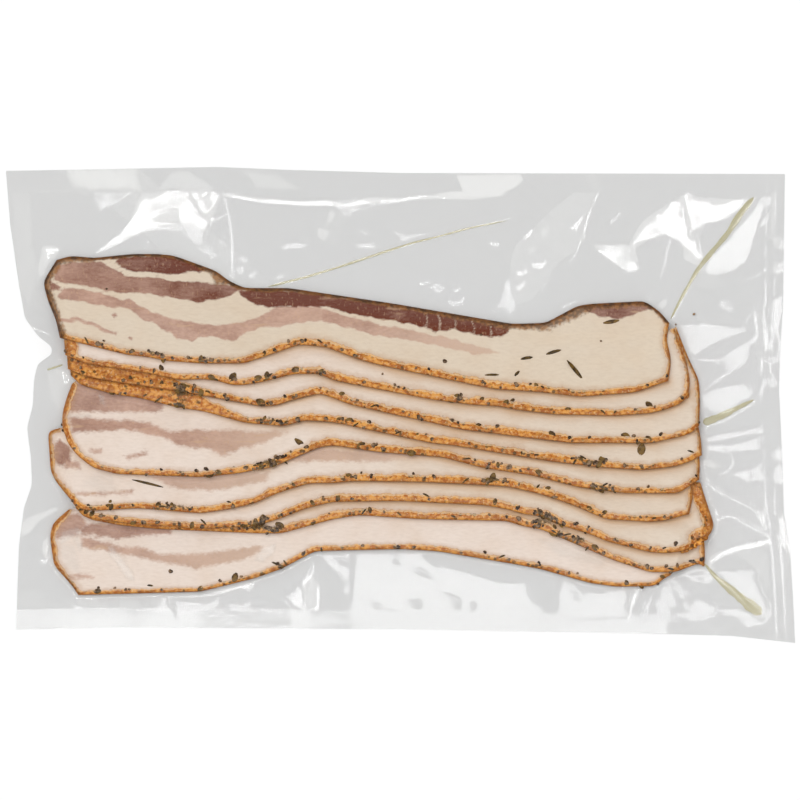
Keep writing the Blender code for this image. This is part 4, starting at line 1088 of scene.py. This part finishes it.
class RasherSettings(bpy.types.PropertyGroup):
    thickness: FloatProperty(name="Thickness", description="Thickness of a rasher",
                             default=1.8 * MM, unit="LENGTH")
    rind_width: FloatProperty(name="Rind width",
                              description="Width of the crusted rind band, in millimetres",
                              default=2.9)
    fat_pale: StringProperty(name="Pale fat", description="sRGB hex", default="#FBEADD")
    fat_dry: StringProperty(name="Dry fat", description="sRGB hex", default="#EDDCC6")
    fat_warm: StringProperty(name="Warm fat", description="sRGB hex", default="#DDB68E")
    lean_dark: StringProperty(name="Dark lean", description="sRGB hex", default="#6E2E14")
    lean_pale: StringProperty(name="Pale lean", description="sRGB hex", default="#D6AF9B")
    crust_dark: StringProperty(name="Dark crust", description="sRGB hex", default="#BE6A1C")
    crust_pale: StringProperty(name="Pale crust", description="sRGB hex", default="#EFA850")


class SeasoningSettings(bpy.types.PropertyGroup):
    seed: IntProperty(name="Seed", description="Seed of the scatter", default=7)
    per_rasher: IntProperty(name="Grains", description="Grains on each rind", default=36)


class JuiceSettings(bpy.types.PropertyGroup):
    opacity: FloatProperty(name="Opacity", description="Opacity of the juice", default=0.48,
                           min=0, max=1, subtype="FACTOR")
    tint: StringProperty(name="Tint", description="sRGB hex", default="#EFEAC6")


class StageSettings(bpy.types.PropertyGroup):
    camera_height: FloatProperty(name="Camera height", description="Height over the floor",
                                 default=4.0, unit="LENGTH")
    view_width: FloatProperty(name="View width", description="Width seen at the pack",
                              default=0.308, unit="LENGTH")
    sky: FloatProperty(name="Sky", description="Strength of the even light", default=0.79)
    sun: FloatProperty(name="Sun", description="Strength of the soft key light", default=1.05)
    box: FloatProperty(name="Softbox", description="Brightness of the softboxes in the gloss",
                       default=23.5)


class BACON_OT_stage(bpy.types.Operator):
    """Adds the floor, the lights and the camera over the pack"""

    bl_idname = "bacon.stage"
    bl_label = "Stage"

    def execute(self, context):
        settings = context.scene.bacon_stage
        bpy.ops.object.select_all(action="DESELECT")
        bpy.ops.mesh.primitive_plane_add(size=4, location=(0, 0, 0))
        floor = context.object
        floor.name = floor.data.name = "floor"
        floor.data.materials.append(floor_material())

        world = bpy.data.worlds.new("soft_studio")
        world.use_nodes = True
        context.scene.world = world
        background = world.node_tree.nodes["Background"]
        background.inputs["Color"].default_value = (1, 1, 1, 1)
        background.inputs["Strength"].default_value = settings.sky

        bpy.ops.object.light_add(type="SUN", rotation=(math.radians(-28), math.radians(-24), 0))
        key = context.object
        key.name = "soft_key"
        key.data.energy = settings.sun
        key.data.angle = math.radians(40)
        key.visible_glossy = False

        # Softboxes seen only in the gloss: a wide one on the near side, a small one on the right.
        self.softbox(context, "near", -90, 11.5, 12.0, 36.0, settings.box)
        self.softbox(context, "right", 0, 12.0, 11.0, 11.0, settings.box)

        target = (-0.19 * MM, 1.9 * MM)
        bpy.ops.object.camera_add(location=(*target, settings.camera_height), rotation=(0, 0, 0))
        camera = context.object
        camera.data.sensor_width = 36
        camera.data.lens = 36 * settings.camera_height / settings.view_width
        camera.data.clip_end = 50
        context.scene.camera = camera
        context.scene.view_settings.view_transform = "Standard"
        return {"FINISHED"}

    def softbox(self, context, name, azimuth, zenith, high_angle, wide_angle, brightness):
        """An area light far off, facing the pack, of the given angular size."""
        far = 6.0
        turn, lean = math.radians(azimuth), math.radians(zenith)
        place = (far * math.sin(lean) * math.cos(turn), far * math.sin(lean) * math.sin(turn),
                 far * math.cos(lean))
        bpy.ops.object.light_add(type="AREA", location=place,
                                 rotation=(0, lean, turn))
        box = context.object
        box.name = f"softbox_{name}"
        box.data.shape = "RECTANGLE"
        box.data.size = 2 * far * math.tan(math.radians(high_angle / 2))
        box.data.size_y = 2 * far * math.tan(math.radians(wide_angle / 2))
        box.data.energy = brightness * math.pi * box.data.size * box.data.size_y
        box.visible_camera = box.visible_diffuse = box.visible_transmission = False


class BACON_OT_pouch(bpy.types.Operator):
    """Models the sealed pouch: the creased front film, the flat back and the welded rim"""

    bl_idname = "bacon.pouch"
    bl_label = "Pouch"

    def execute(self, context):
        settings = context.scene.bacon_pouch
        thick = context.scene.bacon_rashers.thickness / MM
        pouch, column, row = grid_piece("vacuum_pouch", settings.columns, settings.rows)
        edges = [even_path(edge, 600, 1.0)
                 for edge in (POUCH_BOTTOM, POUCH_TOP, POUCH_LEFT, POUCH_RIGHT)]
        places = patch(*edges, np.linspace(0, 1, settings.columns),
                       np.linspace(0, 1, settings.rows))
        x, y = places[column, row].T
        gaps = [distance(x, y, edge[::6]) for edge in edges]
        z = film_heights(x, y, gaps, thick)
        move_points(pouch, x, y, z)
        # Painted highlights, stored for the film's colour and opacity.
        store(pouch, "painted_sheen", film_painted_sheen(x, y))

        bpy.ops.object.mode_set(mode="EDIT")
        bpy.ops.mesh.select_all(action="SELECT")
        bpy.ops.mesh.region_to_loop()
        bpy.ops.mesh.extrude_region_move()
        bpy.ops.transform.resize(value=(1, 1, 0), center_override=(0, 0, 0.06 * MM))
        bpy.ops.mesh.edge_face_add()
        bpy.ops.mesh.select_all(action="SELECT")
        bpy.ops.mesh.normals_make_consistent(inside=False)
        bpy.ops.object.mode_set(mode="OBJECT")
        finish_piece(pouch, "film", film_material(settings, "blown_laminate_film", 0.9),
                     film_material(settings, "laminate_film_on_moist_meat", 0.22))
        _, pile, _ = laid_rashers(thick)
        centres = np.array([face.center for face in pouch.data.polygons]) / MM
        on_meat = HeightField(pile).at(centres[:, 0], centres[:, 1]) > 0.8
        on_meat &= centres[:, 2] > 0.5
        pouch.data.polygons.foreach_set("material_index", on_meat.astype(np.int32))
        return {"FINISHED"}


class BACON_OT_rashers(bpy.types.Operator):
    """Models the nine rashers, draped one on another"""

    bl_idname = "bacon.rashers"
    bl_label = "Rashers"

    def execute(self, context):
        settings = context.scene.bacon_rashers
        thick = settings.thickness / MM
        material = bacon_material(settings)
        laid = laid_rashers(thick)[0]
        columns, rows = 380, 42
        for index, (edges, bed) in enumerate(laid):
            rind, back, left, right = edges
            name = f"rasher_{index + 1}"
            piece, column, row = grid_piece(name, columns, rows)
            places = patch(rind, back, left, right, np.linspace(0, 1, columns),
                           np.linspace(0, 1, rows) ** 1.35)
            x, y = places[column, row].T
            to_rind = distance(x, y, rind[::4])
            to_back = distance(x, y, back[::4])
            to_left, to_right = distance(x, y, left[::4]), distance(x, y, right[::4])
            to_edge = np.minimum(np.minimum(to_rind, to_back), np.minimum(to_left, to_right))
            round_off = 1 - np.sqrt(1 - (1 - np.clip(to_edge / 1.3, 0, 1)) ** 2)
            swell = 0.1 * np.exp(-((to_rind - 1.6) / 1.1) ** 2)
            z = bed.at(x, y) + thick * (1 - 0.62 * round_off) + swell
            move_points(piece, x, y, z)
            self.store_pattern(piece, index, laid, x, y, (to_rind, to_back, to_left, to_right))
            thicken(piece, 0.9 * thick * 0.6, -1)
            keep_off_floor(piece)
            finish_piece(piece, "bacon", material)
        return {"FINISHED"}

    def store_pattern(self, piece, index, laid, x, y, gaps):
        """Stores where the rind, the lean, the tinted fat and the painted shade are, for the
        material to read.
        """
        to_rind, to_back, to_left, to_right = gaps
        band = bpy.context.scene.bacon_rashers.rind_width
        last = index == len(RASHERS) - 1
        share = np.interp(x, *zip(*RIND_SHARE)) * (0.75 if last else 1)
        rind_gap = np.minimum(to_rind / share, to_right + band - RIGHT_REACH.get(index, 1.6))
        if index in LEFT_REACH:
            rind_gap = np.minimum(rind_gap, to_left + band - LEFT_REACH[index])
        if index in CRUST_REACH:
            rind_gap = rind_gap - np.interp(x, *zip(*CRUST_REACH[index]))
        store(piece, "rind_gap", rind_gap)
        # Painted shade along the foot of the rind, and darker rub at the rasher's ends.
        left_share = to_left * 0.4 if index else np.full(x.shape, 9.0)
        store(piece, "foot_shade_and_dark_ends", np.minimum(np.minimum(to_rind * 1.8, to_right * 0.5), left_share))
        rim_gap = np.minimum(to_back, to_left) if index == 0 else np.full(x.shape, 9.0)
        store(piece, "rim_gap", rim_gap)
        store(piece, "rim_share", rim_gap / np.interp(x, *zip(*RIM_WIDTH)))
        lean = np.full(x.shape, -9.0)
        pallor = np.full(x.shape, 0.8)
        warped_x = x + 0.4 * ripple(x, y, 3.0, 11) + 0.3 * ripple(x, y, 8.0, 13)
        warped_y = y + 0.25 * ripple(x, y, 2.2, 12) + 0.35 * ripple(x, y, 9.0, 14)
        softness = 0.75 if index == 0 else 1.7
        for start, end, outline in RASHERS[index].get("lean", ()):
            into = depth(warped_x, warped_y, outline) / softness
            low, high = min(outline)[0], max(outline)[0]
            shade = start + (end - start) * np.clip((x - low) / (high - low), 0, 1)
            pallor = np.where(into > lean, shade, pallor)
            lean = np.maximum(lean, into)
        if index == 0:
            for number, path in enumerate(FAT_SEAMS):
                seam = distance(x, y, even_path(path, 30)) - (0.15 if number else 0.45)
                lean = np.minimum(lean, seam / (0.9 if number else 0.6) - (number == 0) * 0.9)
        store(piece, "lean_depth", lean)
        store(piece, "lean_pallor", pallor)
        herbs = np.zeros(x.shape)
        for cx, cy, reach_x, reach_y, _ in GATHERED:
            herbs += np.exp(-((x - cx) / reach_x) ** 2 - ((y - cy) / reach_y) ** 2)
        store(piece, "herb_rub", np.minimum(herbs, 1.2))
        above = np.full(x.shape, 20.0)
        if index:
            above = distance(x, y, laid[index - 1][0][0][::6])
        # Fat just under the rind above: partly the rub's tint, partly painted shade.
        warmth_and_shade = (0.25 + 0.75 * ramp(x, -130, 10)) * np.exp(-above / 1.7)
        store(piece, "fat_warmth_and_shade", warmth_and_shade * (0.3 if last else 1))
        dryness = np.ones(x.shape) if index == 0 else (0.0 if last else 0.7) * ramp(x, -80, 60)
        store(piece, "fat_dryness", dryness)


class BACON_OT_seasoning(bpy.types.Operator):
    """Scatters cracked pepper, herb needles and herb flakes on the rinds and the fat"""

    bl_idname = "bacon.seasoning"
    bl_label = "Seasoning"

    def execute(self, context):
        settings = context.scene.bacon_seasoning
        thick = context.scene.bacon_rashers.thickness / MM
        draw = random.Random(settings.seed)
        laid, _, rounded = laid_rashers(thick)
        surface = HeightField(rounded)
        grains, needles, flakes = [], [], []
        places = []
        for (rind, _, _, _), _ in laid:
            for _ in range(settings.per_rasher):
                at = rind[draw.randrange(len(rind))]
                places.append((at[0] + draw.uniform(-1, 1),
                               at[1] + draw.triangular(0.3, 3.6, 1.7)))
        rinds = np.concatenate([edges[0][::4] for edges, _ in laid])
        for cx, cy, reach_x, reach_y, count in GATHERED:
            for _ in range(count):
                x, y = draw.gauss(cx, reach_x * 0.7), draw.gauss(cy, reach_y * 0.7)
                gaps = np.hypot(rinds[:, 0] - x, rinds[:, 1] - y)
                nearest = rinds[int(gaps.argmin())]
                places.append((x, nearest[1] + draw.triangular(0, 3.4, 1.0)))
        places = [place for place in places if surface.at(*np.array(place)[:, None])[0] >= 0.5]
        for x, y in places:
            kind, size = draw.random(), draw.triangular(1.0, 3.0, 1.6)
            turn = draw.uniform(0, math.tau)
            if kind < 0.62:
                grains.append((x, y, turn, (size, size * draw.uniform(0.6, 0.95), 0.9)))
            elif kind < 0.74:
                lean = draw.gauss(0, 0.6)
                needles.append((x, y, lean, (draw.uniform(1.4, 3.4), 0.8, 0.4)))
            else:
                flakes.append((x, y, turn, (size * 1.3, size * 0.9, 0.4)))
        needles += [(48.4, 17.9, 0.2, (4.9, 1.3, 0.6)), (58.9, 20.3, 0.28, (6, 1.3, 0.6)),
                    (67.6, 12.7, -0.9, (11.5, 1.5, 0.6)), (35, 11.5, 0.04, (5.6, 1, 0.5)),
                    (44.7, 11.9, 0.87, (3.2, 1.1, 0.5)), (-97.2, -30.2, -0.24, (12.4, 1.0, 0.5))]
        flakes += [(80.9, 32, 0.17, (5.8, 1.5, 0.4)), (92.6, -17.3, 1.4, (4.6, 3, 0.5)),
                   (-38.7, -14.6, -0.7, (5, 2, 0.4))]
        grains += [(17.1, 16.9, 0.4, (2.1, 2, 1)), (31, 27, 1.2, (1.2, 1.1, 0.8)),
                   (77.2, 24.6, 0.1, (1.2, 1, 0.8)), (-113, 44.7, 0.8, (1.2, 1, 0.8)),
                   (-7, 12, 1.9, (1.2, 1, 0.8)), (113, 35, 0.6, (1.5, 1.0, 0.4)),
                   (106, 31, 0.4, (0.9, 0.7, 0.4)), (-88.4, -63.9, 0.5, (2.2, 2, 0.9))]
        self.scatter("cracked_pepper", self.pepper_grain(), grains, surface,
                     speck_material("cracked_black_pepper", ("#35200F", "#94775A"), 1.5))
        self.scatter("herb_needles", self.herb_needle(), needles, surface,
                     speck_material("dried_rosemary", ("#33240A", "#63491A"), 2.0))
        self.scatter("herb_flakes", self.herb_flake(), flakes, surface,
                     speck_material("rubbed_dried_herbs", ("#4A3010", "#80602A"), 2.0))
        return {"FINISHED"}

    def pepper_grain(self):
        """A pepper fragment: a small ball cut flat where it cracked."""
        bpy.ops.object.select_all(action="DESELECT")
        bpy.ops.mesh.primitive_ico_sphere_add(subdivisions=1, radius=0.5)
        grain = bpy.context.object
        bpy.ops.object.mode_set(mode="EDIT")
        bpy.ops.mesh.select_all(action="SELECT")
        bpy.ops.mesh.bisect(plane_co=(0.2, 0.1, 0), plane_no=(0.8, 0.5, 0.3), use_fill=True,
                            clear_outer=True)
        bpy.ops.object.mode_set(mode="OBJECT")
        return grain

    def herb_needle(self):
        """A dried needle: a thin six-sided rod, pinched at its tips and a little bowed."""
        bpy.ops.object.select_all(action="DESELECT")
        bpy.ops.mesh.primitive_cylinder_add(vertices=6, radius=0.5, depth=1,
                                            rotation=(0, math.pi / 2, 0))
        needle = bpy.context.object
        bpy.ops.object.transform_apply(location=False, rotation=True, scale=False)
        bpy.ops.object.mode_set(mode="EDIT")
        bpy.ops.mesh.select_all(action="SELECT")
        for cut in (-0.3, 0, 0.3):
            bpy.ops.mesh.select_all(action="SELECT")
            bpy.ops.mesh.bisect(plane_co=(cut, 0, 0), plane_no=(1, 0, 0))
        bpy.ops.object.mode_set(mode="OBJECT")
        for vertex in needle.data.vertices:
            share = 1 - (2 * abs(vertex.co.x)) ** 3 * 0.75
            vertex.co.y = vertex.co.y * share + 0.35 * (0.25 - vertex.co.x ** 2)
            vertex.co.z *= share
        return needle

    def herb_flake(self):
        """A leaf flake: a small curled blade with a wall."""
        bpy.ops.object.select_all(action="DESELECT")
        bpy.ops.mesh.primitive_grid_add(x_subdivisions=4, y_subdivisions=2, size=1)
        flake = bpy.context.object
        for vertex in flake.data.vertices:
            x, y = vertex.co.x, vertex.co.y
            vertex.co.y = y * (1 - 3.2 * x * x)
            vertex.co.z = 0.5 * y * y + 0.25 * x
        thicken(flake, 300, 0)
        return flake

    def scatter(self, name, seed, places, surface, material):
        """One joined mesh of the seed copied to every place, half sunk in the surface."""
        base = np.array([vertex.co for vertex in seed.data.vertices])
        faces = [tuple(face.vertices) for face in seed.data.polygons]
        bpy.data.objects.remove(seed)
        points, joined = [], []
        for x, y, turn, size in places:
            shape = base * size
            cos, sin = math.cos(turn), math.sin(turn)
            px = x + shape[:, 0] * cos - shape[:, 1] * sin
            py = y + shape[:, 0] * sin + shape[:, 1] * cos
            ground = max(surface.at(np.array([x]), np.array([y]))[0], 0.3)
            offset = len(points) * len(base)
            points.append(np.stack([px, py, shape[:, 2] + ground + 0.05], axis=1) * MM)
            joined += [tuple(corner + offset for corner in face) for face in faces]
        mesh = bpy.data.meshes.new(name)
        mesh.from_pydata(np.concatenate(points).tolist(), [], joined)
        piece = bpy.data.objects.new(name, mesh)
        bpy.context.scene.collection.objects.link(piece)
        finish_piece(piece, "seasoning", material)


class BACON_OT_juice(bpy.types.Operator):
    """Lays thin runs of juice under the creases that hold it"""

    bl_idname = "bacon.juice"
    bl_label = "Juice"

    def execute(self, context):
        material = juice_material(context.scene.bacon_juice)
        for number, (path, start, end) in enumerate(JUICE_RUNS):
            columns, rows = 60, 5
            piece, column, row = grid_piece(f"juice_{number + 1}", columns, rows)
            line = even_path(path, columns)
            way = np.gradient(line, axis=0)
            way /= np.hypot(*way.T)[:, None]
            side = np.stack([-way[:, 1], way[:, 0]], axis=1)
            share = np.linspace(0, 1, columns)
            width = start + (end - start) * share
            width = width * np.sqrt(np.clip(1 - (2 * share - 1) ** 6, 0, 1)) + 0.05
            width *= 1 + 0.2 * np.sin(share * 29) * np.sin(share * 13 + 1)
            across = (row / (rows - 1) - 0.5)[:, None]
            places = line[column] + side[column] * width[column][:, None] * across
            height = 0.3 - 0.12 * (2 * across[:, 0]) ** 2
            move_points(piece, places[:, 0], places[:, 1], height)
            thicken(piece, 0.06, -1)
            finish_piece(piece, "juice", material)
        return {"FINISHED"}


class BACON_PT_pack(bpy.types.Panel):
    """Lists the pieces of the pack and their settings"""

    bl_label = "Bacon pack"
    bl_space_type = "VIEW_3D"
    bl_region_type = "UI"
    bl_category = "Bacon pack"

    def draw(self, context):
        for part, operator in PARTS:
            box = self.layout.box()
            box.operator(operator)
            settings = getattr(context.scene, f"bacon_{part}")
            for name in settings.__annotations__:
                box.prop(settings, name)


PARTS = [("stage", "bacon.stage"), ("rashers", "bacon.rashers"),
         ("seasoning", "bacon.seasoning"), ("juice", "bacon.juice"), ("pouch", "bacon.pouch")]
SETTINGS = {"stage": StageSettings, "rashers": RasherSettings, "seasoning": SeasoningSettings,
            "juice": JuiceSettings, "pouch": PouchSettings}
CLASSES = [*SETTINGS.values(), BACON_OT_stage, BACON_OT_rashers, BACON_OT_seasoning,
           BACON_OT_juice, BACON_OT_pouch, BACON_PT_pack]


def register():
    for cls in CLASSES:
        bpy.utils.register_class(cls)
    for part, group in SETTINGS.items():
        setattr(bpy.types.Scene, f"bacon_{part}", PointerProperty(type=group))


def unregister():
    for part in SETTINGS:
        delattr(bpy.types.Scene, f"bacon_{part}")
    for cls in reversed(CLASSES):
        bpy.utils.unregister_class(cls)


def main():
    register()
    bpy.ops.bacon.stage()
    bpy.ops.bacon.rashers()
    bpy.ops.bacon.seasoning()
    bpy.ops.bacon.juice()
    bpy.ops.bacon.pouch()


if __name__ == "__main__":
    main()
